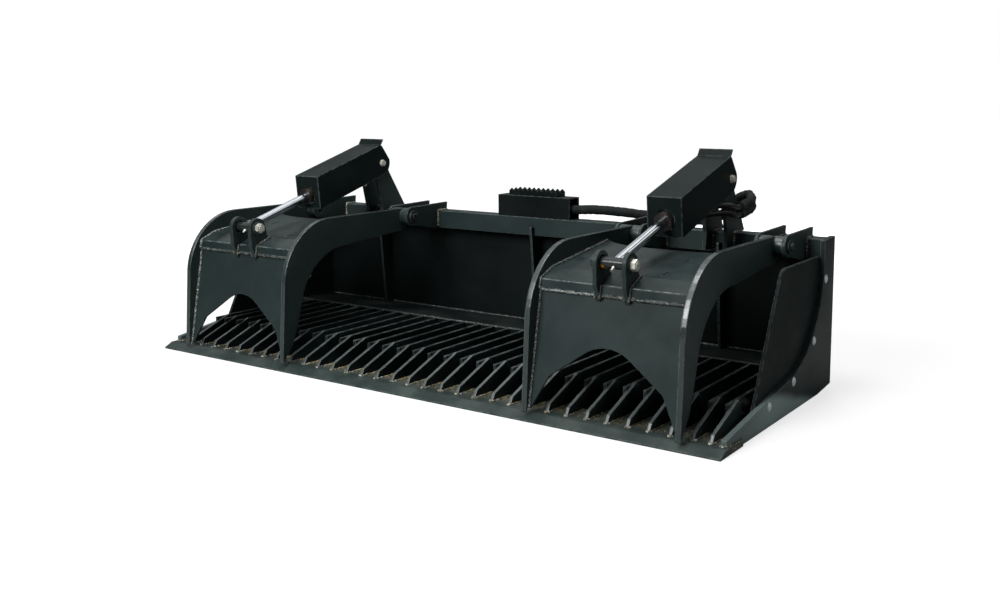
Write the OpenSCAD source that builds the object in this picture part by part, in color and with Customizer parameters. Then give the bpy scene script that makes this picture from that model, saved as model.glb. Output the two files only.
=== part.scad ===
// Rock grapple: a skeleton rock bucket with two independent hydraulic clamshell jaws.
// Origin: centre of the overall box, on the ground. +X to the right, +Y to the back, +Z up.

/* [Bucket] */
// Width across the side plates
bucket_w = 2122; // [1900:1:2440]
// Depth from the cutting edge to the back of the top beam
bucket_d = 824; // [790:1:900]
// Height of the side plates
side_h = 467; // [460:1:520]
// Thickness of the side plates
side_t = 16; // [12:0.5:22]
// Thickness of the back wall
wall_t = 9.5; // [6:0.5:12]
// Outside size of the square top beam
beam_size = 63.5; // [60:0.5:70]
// Wall of the top beam
beam_wall = 6.35; // [4:0.05:9]
// Height of the top beam's underside
beam_z = 398.5; // [390:0.5:402]
// Thickness of the ribs under the beam
rib_t = 9.5; // [6:0.5:14]
// How far a rib stands out in front of the beam
rib_reach = 17.5; // [12:0.5:24]
// How far a rib laps the beam's front face
rib_lap = 30; // [15:1:45]

/* [Cutting edge and floor] */
// How far the cutting edge stands out past each side plate
edge_past = 6; // [0:1:15]
// Depth of the cutting edge
edge_d = 140; // [120:1:160]
// Thickness of the cutting edge
edge_t = 19; // [16:0.5:25]
// Length of the bevel on the cutting edge
edge_bevel = 30; // [15:1:45]
// Thickness left at the tip of the bevel
edge_lip = 4; // [2:0.5:8]
// Distance from tine to tine
tine_pitch = 63.4; // [60:0.2:80]
// Thickness of the tines and grid bars
tine_t = 9.5; // [6:0.5:12]
// Height of the tine peaks above the ground
tine_h = 96; // [90:1:105]
// Distance from the tip of the edge to the foot of a tine
tine_y = 55; // [45:1:65]
// Length of a front tine
tine_len = 207; // [190:1:240]
// Radius of the scallop behind a tine's peak
tine_scallop_r = 31; // [20:1:36]
// Height of the grid bars' tops above the ground
grid_h = 94; // [85:1:100]
// Depth of the solid rear floor, from the beam's rear face to the grid
rear_floor_d = 224; // [184:1:264]
// Distance from the tip of the edge to the front of the grid bars
grid_y = 172; // [150:1:190]
// Width of the flat bars under the grid
cross_w = 64; // [40:1:90]
// Thickness of the rear floor plate
floor_t = 8; // [6:0.5:12]
// Fall of the rear floor plate towards the wall
floor_fall = 15; // [5:1:25]
// Thickness of the heel plate
heel_t = 9.5; // [6:0.5:16]

/* [Side panels] */
// Thickness of the bolted side panels
panel_t = 9.5; // [6:0.5:12]
// Height of the side panels' top edge
panel_h = 414; // [400:1:440]
// Radius of the side panels' front corner
panel_corner_r = 45; // [30:1:70]
// Diameter of the carriage bolts
carriage_d = 12.7; // [10:0.1:16]

/* [Jaws] */
// Distance from a side plate's outside to the middle of a jaw
jaw_inset = 348; // [340:1:356]
// Distance from the middle of a jaw to the middle of an arm plate
arm_x = 235; // [225:1:240]
// Thickness of the arm plates
arm_t = 16; // [12:0.5:19]
// Height of the arms' tips above the ground
arm_tip_z = 24; // [21:0.5:40]
// Distance from the cutting edge's front to the arms' tips
arm_tip_y = 6; // [0:1:20]
// Height of the arms' top edge above the ground
arm_top_z = 482; // [478:1:486]
// Outside radius of the arms' bend
arm_bend_r = 215; // [180:1:222]
// Inside radius of the arms' bend
arm_inner_r = 212; // [170:1:214]
// Height of the rear stretch of an arm
arm_shank_h = 80; // [70:1:84]
// Thickness of the face plate
face_t = 8; // [6:0.5:10]
// Thickness of the bent top plate
top_t = 6.5; // [5:0.5:8]
// Length of the top plate's flange over the face plate
top_lip = 26; // [18:1:34]
// Height of the arch in the face plate
arch_z = 224; // [200:1:240]
// Radius of the arch's crown
arch_r = 120; // [80:1:130]
// Slope of the arch's flanks
arch_angle = 35; // [30:1:42]

/* [Hinges and pins] */
// Distance from the beam's rear face forward to the jaw hinge
hinge_back = 210; // [199:1:219]
// Height of the jaw hinge above the ground
hinge_z = 454; // [450:1:458]
// Diameter of the jaw hinge pins
hinge_pin_d = 31.75; // [28:0.25:35]
// Distance between the two ears of a hinge, middle to middle
ear_gap = 86; // [80:1:92]
// Thickness of the ears
ear_t = 9.5; // [8:0.1:14]
// Radius of an ear round its pin
ear_r = 34; // [30:1:36]
// Outside diameter of the bosses on the arms
boss_d = 57; // [50:1:60]
// Diameter of the cylinder's base pin
base_pin_d = 25.4; // [22:0.2:28]
// Diameter of the rod pin
rod_pin_d = 19; // [16:0.5:22]
// Running clearance of a pin in its hole, on the radius
pin_clear = 0.08; // [0.02:0.01:0.1]

/* [Cylinders] */
// Distance from the beam's rear face forward to the cylinder's base pin
base_back = 124; // [114:1:134]
// Height of the cylinder's base pin above the ground
base_z = 636; // [625:1:645]
// Distance from the cutting edge's front to the rod pin
rod_pin_y = 84; // [80:1:88]
// Height of the rod pin above the ground
rod_pin_z = 450; // [446:1:456]
// Sideways offset of the cylinder from the middle of its jaw
cyl_shift = 5; // [0:1:12]
// Bore of the cylinder
bore_d = 50.8; // [48:0.1:52]
// Outside diameter of the barrel
barrel_d = 63.5; // [60:0.5:66]
// Diameter of the piston rod
rod_d = 28.6; // [25:0.1:32]
// Distance from the base pin to the start of the barrel
barrel_start = 50; // [46:0.5:54]
// Distance from the base pin to the end of the barrel
barrel_end = 334; // [326:1:336]
// Distance from the base pin to the front of the gland
gland_end = 362; // [356:1:370]
// Width of the base eye
base_eye_w = 57; // [54:0.5:58]
// Length of the piston
piston_len = 32; // [26:1:34]
// Rod travel left at rest before the piston meets the gland
spare_stroke = 23; // [15:1:26]

/* [Cylinder cover] */
// Outside width of the cover
cover_w = 111; // [108:1:118]
// Thickness of the cover's sheet
cover_t = 4.8; // [3:0.1:6]
// Height of the cover's top above the cylinder's axis
cover_up = 68; // [62:1:76]
// Depth of the cover's sides below the cylinder's axis
cover_down = 46; // [44:1:50]
// Radius of the cover's rear end round the base pin
cover_rear_r = 44; // [40:1:48]
// Distance from the base pin to the cover's front
cover_front = 348; // [344:1:354]
// Lean of the cover's front plate
cover_lean = 11; // [0:1:14]
// Diameter of the hole for the gland
cover_hole_d = 62; // [58:1:66]
// Length of the lip at the rear of the cover
cover_lip = 26; // [15:1:35]

/* [Towers] */
// Distance between the two plates of a tower, middle to middle
tower_gap = 71; // [70.6:0.1:74]
// Thickness of the tower plates
tower_t = 12.7; // [10:0.1:13]
// Radius of a tower plate round the base pin
tower_r = 33; // [28:1:38]

/* [Attachment plate] */
// Width of the attachment plate
attach_w = 1143; // [1100:1:1150]
// Height of the attachment plate's lower edge
attach_z = 30; // [20:1:40]
// Height of the attachment plate
attach_h = 405; // [390:1:410]
// Thickness of the attachment plate
attach_t = 9.5; // [8:0.5:12]
// How far the bottom flange stands out behind the plate
flange_reach = 56.5; // [50:0.5:70]
// Thickness of the bottom flange
flange_t = 12.7; // [10:0.1:16]
// Distance from an end of the flange to the middle of its latch slot
slot_inset = 63.5; // [55:0.5:80]
// Length of a latch slot
slot_len = 57; // [50:1:70]
// Width of a latch slot
slot_w = 22; // [18:1:26]
// Length of the top lip
lip_len = 50; // [40:1:60]
// Fall of the top lip towards the back
lip_fall = 30; // [20:1:40]

/* [Step and hydraulics] */
// Length of the step box
step_w = 302; // [280:1:340]
// Height of the step box
step_h = 76; // [68:1:90]
// Thickness of the step box's sheet
step_t = 4.8; // [3:0.1:6]
// Length of the serrated pad
pad_w = 200; // [160:1:260]
// Distance from tooth to tooth on the pad
pad_pitch = 20; // [16:0.5:26]
// Height of the pad's teeth
pad_tooth = 9; // [6:0.5:12]
// Height of the pad without its teeth
pad_h = 16; // [10:1:20]
// Width, depth and height of the hydraulic block
block_w = 130; // [110:1:150]
block_d = 40; // [36:1:44]
block_h = 60; // [50:1:66]

/* [Hidden] */
$fn = 64;
// Cuts run past a face by this much
over = 1;

edge_w = bucket_w + 2*edge_past;
inner_x = bucket_w/2 - side_t;
panel_x = inner_x - panel_t;
back_y = bucket_d;
wall_y = bucket_d - wall_t;
beam_y = bucket_d - beam_size;
beam_top = beam_z + beam_size;
attach_back = bucket_d + attach_t;
overall_d = attach_back + flange_reach;
hinge_y = back_y - hinge_back;
base_y = back_y - base_back;
grid_end = back_y - rear_floor_d;
jaw_x = bucket_w/2 - jaw_inset;
slot_spacing = attach_w - 2*slot_inset;

// Direction of the cylinder: it falls towards the front by this angle
cyl_angle = atan((base_z - rod_pin_z)/(base_y - rod_pin_y));
pin_to_pin = norm([base_z - rod_pin_z, base_y - rod_pin_y]);

// Tines and grid: the row lies a little to the right of the middle
tine_shift = 14;
tine_foot = [12, 21];
tine_peak_run = 160;
tine_scallop_mid = [6, 14];
tine_scallop_angles = [168, 262];
grid_fall = 2;
// Places of the flat bars under the grid, as shares of its length
cross_shares = [1/2, 5/6];
rib_lean = 32;
side_fall = 5;

// Jaw arm outline
arm_toe = 16;
arm_leg_w = 69;
arm_root_h = 101;
arm_bend_z = arm_top_z - arm_bend_r;
arm_front_y = arm_tip_y + arm_toe;
arm_bend_y = arm_front_y + arm_bend_r;
arm_inner_z = arm_top_z - arm_root_h - arm_inner_r;
arm_inner_y = arm_front_y + arm_leg_w + arm_inner_r;
arm_inner_angle = 166;
arm_neck = 8;
// Points up the back of an arm's tip: reach back from the tip, height as a share of the leg
arm_heel_shares = [[0.26, 0.10], [0.65, 0.23], [1.01, 0.48]];
arm_end_r = 42;
arm_end_angles = [-20, -60];

// Face plate and top plate
face_gap = 0.4;
face_y = 20;
face_z = 30;
face_top_gap = 8;
fold_y = 84;
fold_z = 388;
fold2_y = 137;
fold2_z = 406;
roof_back = 161;
top_rear_y = hinge_y - roof_back;
top_rear_z = 448;
// How far the outside of the second fold lies in front of it, as a share of the plate
fold_share = 0.35;
// The roof's rear edge is scooped out between the arms
scoop_back = 212;
scoop_y = hinge_y - scoop_back;
face_lean = atan((fold_y - face_y)/(fold_z - face_z));
face_w = 2*arm_x - arm_t;
face_len = (fold_z - face_z)/cos(face_lean) - face_top_gap;
arch_shoulder_in = 53;
arch_shoulder_x = face_w/2 - arch_shoulder_in;
arch_leg_in = 4;
arch_leg_z = 34;
stiff_x = 105;
stiff_t = 8;
stiff_h = 46;
stiff_front = 4;
stiff_back = 8;
stiff_ramp = 50;
stiff_toe = 8;
slit_len = 38;
slit_w = 4;
// Places of the slits, as shares of the roof from its fold to its scoop
slit_shares = [0.083, 0.581];
slit_y = [for (share = slit_shares) fold2_y + share*(scoop_y - fold2_y)];

// Rod lugs
lug_gap = 89;
lug_t = 12.7;
lug_r = 33;
lug_hole_r = 20.5;
lug_rear = 40;
lug_low_z = 346;
lug_front_in = 3;
lug_front_drop = 60;
lug_toe = 4;
lug_back_h = 10;
lug_foot_gap = 3;
cross_tube_d = 32;
cross_tube_w = 74;
washer_r = 22;
washer_t = 3;
rod_nut_af = 28.6;
rod_nut_h = 14;
rod_pin_tail = 2;

// Carriage bolts: round the side plate's arc, then along its lower band
arc_bolt_angles = [-9, -44.6, -77.7];
// Along the band from the arc's end, and up from the ground to the band's edge
band_bolt_shares = [0.362, 0.742];
side_front_y = bucket_d - 84;
side_arc_r = 300;
side_arc_z = side_h - 72;
side_arc_end = -82;
side_arc_y = side_front_y - side_arc_r;
bolt_inset = 17;
side_nose = [52, 36];
heel_rise = 10;
heel_run = 113;
heel_start = back_y - heel_run;
carriage_head_r = 14;
carriage_head_h = 5;
carriage_nut_af = 19;
carriage_nut_h = 11;
carriage_tail = 3;
hole_clear = 0.3;

// As many tines as fit between the panels' nuts, and one more beside the nuts at each end
nut_x = panel_x - carriage_nut_h - carriage_tail;
end_room = 4*tine_t;
end_clear = 1;
tine_side = floor((nut_x - tine_shift - end_room)/tine_pitch);
tine_places = concat([end_room - nut_x], [for (k = [-tine_side:tine_side]) k*tine_pitch + tine_shift],
    [nut_x - end_clear - tine_t/2]);

// Ears: their feet run under the beam's front corner and over its top
ear_angles = [100, 290];
ear_foot = [38, 1];
ear_back = [12, 9];
ear_back_h = 29;

// Towers: nose and hip are measured from the base pin, waist, foot and heel from the beam
tower_angles = [30, 190];
tower_nose = [13.5, 63];
tower_waist = [48, 2];
tower_foot = [52, 8];
tower_back = 17;
tower_heel_h = 6;
tower_hip = [56, 39];

// Small hardware
keeper_bolt_d = 12.7;
keeper_head_af = 19;
keeper_head_h = 8;
pin_head_h = 6;
pin_head_r = 20;

// Hoses: points along each hose's own route, from the cutting edge's front and the middle.
// They suit a bucket of this depth with its jaws this far from the middle
route_depth = 824;
route_jaw_x = 713;
sleeve_d = 32;
hose_d = 22;
small_hose_d = 19;
hose_apart = 1;
hose_sides = 10;
trunk_route = [[86, 792, 492], [150, 792, 496], [220, 795, 500], [290, 806, 499], [350, 824, 494],
    [405, 845, 488], [480, 850, 484], [560, 850, 482], [630, 852, 485], [672, 858, 502],
    [693, 862, 522], [710, 863, 537], [729, 863, 548]];
loop_route = [[730, 863, 549], [749, 861, 560], [770, 852, 564], [786, 834, 558],
    [793, 811, 549], [791, 789, 542], [785, 768, 536], [784, 747, 535]];
rod_hose_route = [[784, 746, 524], [783, 720, 523], [782, 693, 528], [776, 667, 534],
    [764, 643, 535], [750, 620, 534], [737, 596, 532], [727, 570, 528], [720, 542, 523],
    [718, 515, 519], [718, 489, 513], [718, 462, 505]];
base_hose_route = [[784, 746, 546], [783, 724, 545], [784, 703, 549], [783, 682, 554],
    [778, 662, 557], [769, 647, 558], [757, 638, 558], [745, 638, 558]];

paint = [0.20, 0.22, 0.22];
worn = [0.36, 0.37, 0.36];
steel = [0.62, 0.63, 0.64];
zinc = [0.78, 0.76, 0.66];
rubber = [0.12, 0.12, 0.12];

// Helpers

function arc(centre, r, from, to, steps = 12) =
    [for (i = [0:steps]) centre + r*[cos(from + (to - from)*i/steps), sin(from + (to - from)*i/steps)]];

// From the working frame, with Y from the cutting edge, to the part's own frame
module placed() {
    translate([0, -overall_d/2, 0]) children();
}

// A plate that stands across X: its outline is drawn as [y, z]
module upright(x, t) {
    translate([x - t/2, 0, 0]) rotate([90, 0, 90]) linear_extrude(t) children();
}

// A round bar along X
module bar_x(x, y, z, len, r) {
    translate([x, y, z]) rotate([0, 90, 0]) cylinder(h = len, r = r, center = true);
}

// A round hole along X through everything near x
module hole_x(x, y, z, len, r) {
    bar_x(x, y, z, len + 2*over, r);
}

module hex_x(x, y, z, len, af) {
    translate([x, y, z]) rotate([0, 90, 0]) cylinder(h = len, r = af/2/cos(30), center = true, $fn = 6);
}

// The cylinder's own frame: +Z from the base pin to the rod pin, +Y up and across it
module cylinder_frame(side) {
    translate([side*jaw_x + cyl_shift, base_y, base_z]) rotate([90 + cyl_angle, 0, 0]) children();
}

// A swept hose: one ring of points at each stop of its route
function aim(route, i) =
    let (last = len(route) - 1, d = route[min(i + 1, last)] - route[max(i - 1, 0)]) d/norm(d);
function side_of(d) =
    let (s = cross(d, [0, 0, 1])) s/norm(s);
function ring(route, i, r) =
    let (d = aim(route, i), s = side_of(d), u = cross(s, d))
    [for (k = [0:hose_sides - 1]) route[i] + r*(cos(360*k/hose_sides)*s + sin(360*k/hose_sides)*u)];

// The routes keep their place on the beam and the tower when the bucket's size differs
function carried(route) = [for (p = route) p + [jaw_x - route_jaw_x, back_y - route_depth, 0]];

// The trunk starts at the block in the middle, so only its far end goes along with the tower
function trunk_share(p) = (p[0] - trunk_route[0][0])/(loop_route[0][0] - trunk_route[0][0]);
function carried_trunk() =
    [for (p = trunk_route) p + [trunk_share(p)*(jaw_x - route_jaw_x), back_y - route_depth, 0]];

// A second route that runs above or below the first, square to it
function beside(route, rise) =
    [for (i = [0:len(route) - 1]) let (d = aim(route, i)) route[i] + rise*cross(side_of(d), d)];

module hose(route, d) {
    last = len(route) - 1;
    points = [for (i = [0:last]) each ring(route, i, d/2)];
    walls = [for (i = [0:last - 1]) for (k = [0:hose_sides - 1])
        [i*hose_sides + k, i*hose_sides + (k + 1)%hose_sides,
            (i + 1)*hose_sides + (k + 1)%hose_sides, (i + 1)*hose_sides + k]];
    start = [for (k = [hose_sides - 1:-1:0]) k];
    end = [for (k = [0:hose_sides - 1]) last*hose_sides + k];
    polyhedron(points, concat(walls, [start, end]));
}

// Bucket

module cutting_edge() {
    color(worn) placed() upright(0, edge_w)
        polygon([[0, 0], [edge_d, 0], [edge_d, edge_t], [edge_bevel, edge_t], [0, edge_lip]]);
}

function tine_outline() =
    let (end = tine_y + tine_len, c = [end - tine_scallop_mid[0], tine_h - tine_scallop_mid[1]])
    concat([[tine_y, edge_t], [tine_y + tine_foot[0], edge_t + tine_foot[1]],
        [tine_y + tine_peak_run, tine_h]],
        arc(c, tine_scallop_r, tine_scallop_angles[0], tine_scallop_angles[1], 10),
        [[end, tine_h/2], [end, edge_t]]);

module front_tines() {
    color(paint) placed() for (x = tine_places) upright(x, tine_t) polygon(tine_outline());
}

// Each bar lies against the left face of its tine
module grid_bars() {
    color(paint) placed() for (x = tine_places)
        upright(x - tine_t, tine_t)
            polygon([[grid_y, edge_t], [grid_end, edge_t], [grid_end, grid_h], [grid_y, grid_h - grid_fall]]);
}

module floor_cross_bars() {
    color(paint) placed() for (share = cross_shares)
        translate([-inner_x, share*grid_end, 0]) cube([2*inner_x, cross_w, edge_t]);
}

function floor_z(y) = grid_h - floor_fall*(y - grid_end)/(wall_y - grid_end);

module rear_floor_plate() {
    color(paint) placed() upright(0, 2*panel_x)
        polygon([[grid_end, heel_t], [grid_end + floor_t, heel_t],
            [grid_end + floor_t, floor_z(grid_end) - floor_t], [wall_y, floor_z(wall_y) - floor_t],
            [wall_y, floor_z(wall_y)], [grid_end, floor_z(grid_end)]]);
}

module heel_plate() {
    color(paint) placed() upright(0, 2*inner_x)
        polygon([[grid_end, 0], [heel_start, 0], [back_y, heel_t/2], [back_y, heel_t], [grid_end, heel_t]]);
}

module back_wall() {
    color(paint) placed() translate([-inner_x, wall_y, heel_t])
        cube([2*inner_x, wall_t, beam_z - heel_t]);
}

module top_beam() {
    color(worn) placed() upright(0, 2*inner_x) difference() {
        translate([beam_y, beam_z]) square(beam_size);
        translate([beam_y + beam_wall, beam_z + beam_wall]) square(beam_size - 2*beam_wall);
    }
}

module back_ribs() {
    front = beam_y - rib_reach;
    color(paint) placed() for (x = [-jaw_x, 0, jaw_x])
        upright(x, rib_t)
            polygon([[front + rib_lean, floor_z(front + rib_lean)], [wall_y, floor_z(wall_y)], [wall_y, beam_z],
                [beam_y, beam_z], [beam_y, beam_z + rib_lap], [front, beam_z + rib_lap]]);
}

function side_outline() =
    concat([[side_nose[0], edge_t], [edge_d, edge_t], [edge_d, 0], [heel_start, 0], [back_y, heel_rise],
        [back_y, side_h], [side_front_y, side_h - side_fall]],
        arc([side_arc_y, side_arc_z], side_arc_r, 0, side_arc_end, 16), [side_nose]);

function bolt_places() =
    let (end = [side_arc_y, side_arc_z] + side_arc_r*[cos(side_arc_end), sin(side_arc_end)])
    concat([for (a = arc_bolt_angles) [side_arc_y, side_arc_z] + (side_arc_r + bolt_inset)*[cos(a), sin(a)]],
        [let (edge = end + band_bolt_shares[0]*(side_nose - end)) [edge[0], band_bolt_shares[1]*edge[1]]]);

module side_plate(side) {
    color(paint) placed() difference() {
        upright(side*(bucket_w - side_t)/2, side_t) polygon(side_outline());
        for (p = bolt_places())
            hole_x(side*(bucket_w - side_t)/2, p[0], p[1], side_t, carriage_d/2 + hole_clear);
    }
}

module side_plate_left() { side_plate(-1); }
module side_plate_right() { side_plate(1); }

// The panel's front edge leans, and meets its top edge in a round corner
panel_front_y = 237;
panel_slope = 152.6;

module side_panel(side) {
    corner_z = panel_h - panel_corner_r;
    corner_run = (panel_corner_r + (corner_z - edge_t)*sin(panel_slope))/cos(180 - panel_slope);
    corner = [panel_front_y + corner_run, corner_z];
    x = side*(inner_x - panel_t/2);
    color(paint) placed() difference() {
        upright(x, panel_t) polygon(concat([[panel_front_y, edge_t], [wall_y, edge_t], [wall_y, beam_z],
            [beam_y, beam_z], [beam_y, panel_h]], arc(corner, panel_corner_r, 90, panel_slope, 6)));
        for (p = bolt_places()) hole_x(x, p[0], p[1], panel_t, carriage_d/2 + hole_clear);
    }
}

module side_panel_left() { side_panel(-1); }
module side_panel_right() { side_panel(1); }

// Domed heads outside, shanks through both plates, nuts on the panel's inner face
module carriage_bolt(side, y, z) {
    dome_r = (carriage_head_r*carriage_head_r + carriage_head_h*carriage_head_h)/(2*carriage_head_h);
    shank = side_t + panel_t + carriage_nut_h + carriage_tail;
    out = side*bucket_w/2;
    translate([out, y, z]) rotate([0, side*90, 0]) union() {
        intersection() {
            translate([0, 0, carriage_head_h - dome_r]) sphere(r = dome_r);
            cylinder(h = carriage_head_h + over, r = carriage_head_r);
        }
        translate([0, 0, -shank]) cylinder(h = shank, r = carriage_d/2);
    }
}

module panel_bolts() {
    color(zinc) placed() for (side = [-1, 1]) for (p = bolt_places()) {
        carriage_bolt(side, p[0], p[1]);
        difference() {
            hex_x(side*(panel_x - carriage_nut_h/2), p[0], p[1], carriage_nut_h, carriage_nut_af);
            hole_x(side*(panel_x - carriage_nut_h/2), p[0], p[1], carriage_nut_h, carriage_d/2 + pin_clear);
        }
    }
}

// Hinges of the jaws

ear_centres = [for (side = [-1, 1]) for (arm = [-1, 1]) for (e = [-0.5, 0.5])
    side*jaw_x + arm*arm_x + e*ear_gap];

module hinge_ears() {
    hinge = [hinge_y, hinge_z];
    color(paint) placed() for (x = ear_centres)
        difference() {
            upright(x, ear_t) polygon(concat(arc(hinge, ear_r, ear_angles[0], ear_angles[1], 16),
                [[beam_y - ear_foot[0], beam_z + ear_foot[1]], [beam_y, beam_z], [beam_y, beam_top],
                    [back_y - ear_back[0], beam_top], [back_y - ear_back[1], beam_top + ear_back_h]]));
            hole_x(x, hinge_y, hinge_z, ear_t, hinge_pin_d/2 + pin_clear);
        }
}

// Pins pass through two ears and the arm between them; each has a head and a keeper bolt
module hinge_pins() {
    len = ear_gap + ear_t;
    color(steel) placed() for (side = [-1, 1]) for (arm = [-1, 1]) {
        x = side*jaw_x + arm*arm_x;
        out = x + arm*(len + pin_head_h)/2;
        union() {
            bar_x(x, hinge_y, hinge_z, len, hinge_pin_d/2);
            bar_x(out, hinge_y, hinge_z, pin_head_h, pin_head_r);
        }
        hex_x(out + arm*(pin_head_h + keeper_head_h)/2, hinge_y, hinge_z, keeper_head_h, keeper_head_af);
    }
}

module cylinder_towers() {
    base = [base_y, base_z];
    color(paint) placed() for (side = [-1, 1]) for (e = [-0.5, 0.5]) {
        x = side*jaw_x + cyl_shift + e*tower_gap;
        difference() {
            upright(x, tower_t) polygon(concat(arc(base, tower_r, tower_angles[0], tower_angles[1], 14),
                [base - tower_nose, [beam_y - tower_waist[0], beam_top + tower_waist[1]],
                    [beam_y - tower_foot[0], beam_z + tower_foot[1]], [beam_y, beam_z + tower_foot[1]],
                    [beam_y, beam_top], [back_y + tower_back, beam_top],
                    [back_y + tower_back, beam_top + tower_heel_h],
                    [base_y + tower_hip[0], base_z - tower_hip[1]]]));
            hole_x(x, base_y, base_z, tower_t, base_pin_d/2 + pin_clear);
        }
    }
}

// The pin joins the tower and the cylinder's base eye; a bolt in each end holds the cover
module base_pins() {
    len = tower_gap + tower_t + 2*(cover_w/2 - cover_t - (tower_gap + tower_t)/2 - hole_clear);
    color(zinc) placed() for (side = [-1, 1]) {
        x = side*jaw_x + cyl_shift;
        bar_x(x, base_y, base_z, len, base_pin_d/2);
        for (e = [-1, 1]) {
            shank = cover_w/2 + washer_t - len/2;
            bar_x(x + e*(len + shank)/2, base_y, base_z, shank, keeper_bolt_d/2);
            difference() {
                bar_x(x + e*(cover_w/2 + hole_clear + washer_t/2), base_y, base_z, washer_t, base_pin_d/2);
                hole_x(x + e*(cover_w/2 + hole_clear + washer_t/2), base_y, base_z, washer_t,
                    keeper_bolt_d/2 + pin_clear);
            }
            hex_x(x + e*(cover_w/2 + hole_clear + washer_t + keeper_head_h/2), base_y, base_z,
                keeper_head_h, keeper_head_af);
        }
    }
}

// Attachment to the loader

module attach_plate() {
    color(paint) placed() translate([-attach_w/2, back_y, attach_z])
        cube([attach_w, attach_t, attach_h]);
}

module attach_top_lip() {
    top = attach_z + attach_h;
    run = lip_len*cos(lip_fall);
    fall = lip_len*sin(lip_fall);
    color(paint) placed() upright(0, attach_w)
        polygon([[attach_back, top - attach_t], [attach_back + run, top - attach_t - fall],
            [attach_back + run, top - fall], [attach_back, top]]);
}

module attach_bottom_flange() {
    color(paint) placed() difference() {
        translate([-attach_w/2, attach_back, attach_z]) cube([attach_w, flange_reach, flange_t]);
        for (side = [-1, 1])
            translate([side*slot_spacing/2, attach_back + flange_reach/2, attach_z - over])
                linear_extrude(flange_t + 2*over) for (e = [-1, 1]) {
                    translate([e*(slot_len - slot_w)/2, 0]) circle(d = slot_w);
                    square([slot_len - slot_w, slot_w], center = true);
                }
    }
}

gusset_h = 46;
gusset_t = 9.5;
gusset_step = 12;
gusset_toe = 6;
gusset_shares = [-0.36, -0.12, 0.12, 0.36];

module attach_gussets() {
    z = attach_z + flange_t;
    end = attach_back + flange_reach - gusset_step;
    color(paint) placed() for (share = gusset_shares)
        upright(share*attach_w, gusset_t)
            polygon([[attach_back, z], [end, z], [end, z + gusset_toe], [attach_back, z + gusset_h]]);
}

// Step, hydraulic block and hoses

module step_box() {
    color(paint) placed() upright(0, step_w) difference() {
        translate([beam_y, beam_top]) square([beam_size, step_h]);
        translate([beam_y + step_t, beam_top - over]) square([beam_size - 2*step_t, step_h - step_t + over]);
    }
}

// A channel with rows of teeth along its top
pad_shift = 5;
pad_inset = 3;
pad_row_t = 5;
pad_rise = 8;

module step_pad() {
    z = beam_top + step_h;
    left = -pad_w/2 - pad_shift;
    teeth = floor(pad_w/pad_pitch);
    row_y = [beam_y + pad_inset, beam_y + beam_size/2 - pad_row_t/2, back_y - pad_inset - pad_row_t];
    color(paint) placed() {
        translate([left, beam_y + pad_inset, z])
            cube([teeth*pad_pitch, beam_size - 2*pad_inset, pad_h - pad_rise]);
        for (y = row_y)
            translate([left, y + pad_row_t, z + pad_h - pad_rise]) rotate([90, 0, 0])
                linear_extrude(pad_row_t) polygon(concat([[0, 0]], [for (i = [0:teeth - 1]) each
                    [[i*pad_pitch, pad_rise], [(i + 0.5)*pad_pitch, pad_rise + pad_tooth]]],
                    [[teeth*pad_pitch, pad_rise], [teeth*pad_pitch, 0]]));
    }
}

block_shift = 5;
port_r = 9.5;
port_depth = 20;
port_apart = 28;
trunk_fitting_len = 25;
trunk_fitting_af = 15;
trunk_fitting_apart = 16;

module hydraulic_block() {
    left = -block_w/2 - block_shift;
    y = beam_y + beam_size/2;
    color(steel) placed() {
        difference() {
            translate([left, y - block_d/2, beam_top]) cube([block_w, block_d, block_h]);
            for (e = [-0.5, 0.5])
                translate([left - over, y, beam_top + block_h/2 + e*port_apart]) rotate([0, 90, 0])
                    cylinder(h = port_depth + over, r = port_r);
        }
        for (e = [-0.5, 0.5])
            hex_x(left + block_w + trunk_fitting_len/2, y + e*trunk_fitting_apart, beam_top + block_h/2,
                trunk_fitting_len, trunk_fitting_af);
    }
}

module hose_trunk() {
    color(rubber) placed() hose(carried_trunk(), sleeve_d);
}

module hose_loop() {
    color(rubber) placed() for (e = [-1, 1])
        hose(beside(carried(loop_route), e*(hose_d/2 + hose_apart/2)), hose_d);
}

// Jaws

function arm_outline() =
    let (leg = arm_bend_z - arm_tip_z, hinge = [hinge_y, hinge_z], low = arm_top_z - arm_shank_h,
        tip = [arm_tip_y, arm_tip_z])
    concat([tip], arc([arm_bend_y, arm_bend_z], arm_bend_r, 180, 90, 14),
        arc(hinge, arm_top_z - hinge_z, 90, 0, 6),
        arc(hinge, arm_end_r, arm_end_angles[0], arm_end_angles[1], 4),
        [[hinge_y - arm_neck, low]], arc([arm_inner_y, arm_inner_z], arm_inner_r, 90, arm_inner_angle, 12),
        [for (i = [2:-1:0]) tip + [arm_heel_shares[i][0]*arm_leg_w, arm_heel_shares[i][1]*leg]]);

module jaw_arm(side, arm) {
    x = side*jaw_x + arm*arm_x;
    color(paint) placed() difference() {
        upright(x, arm_t) polygon(arm_outline());
        hole_x(x, hinge_y, hinge_z, arm_t, hinge_pin_d/2 + pin_clear);
    }
}

module left_outer_arm() { jaw_arm(-1, -1); }
module left_inner_arm() { jaw_arm(-1, 1); }
module right_inner_arm() { jaw_arm(1, -1); }
module right_outer_arm() { jaw_arm(1, 1); }

// One flank of the arch, from its crown down to the leg's inner corner
function arch_flank() =
    let (tx = arch_r*sin(arch_angle), tz = arch_z - arch_r*(1 - cos(arch_angle)),
        sz = tz - (arch_shoulder_x - tx)*tan(arch_angle))
    concat(arc([0, arch_z - arch_r], arch_r, 90, 90 - arch_angle, 6),
        [[arch_shoulder_x, sz], [face_w/2 - arch_leg_in, arch_leg_z]]);

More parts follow.
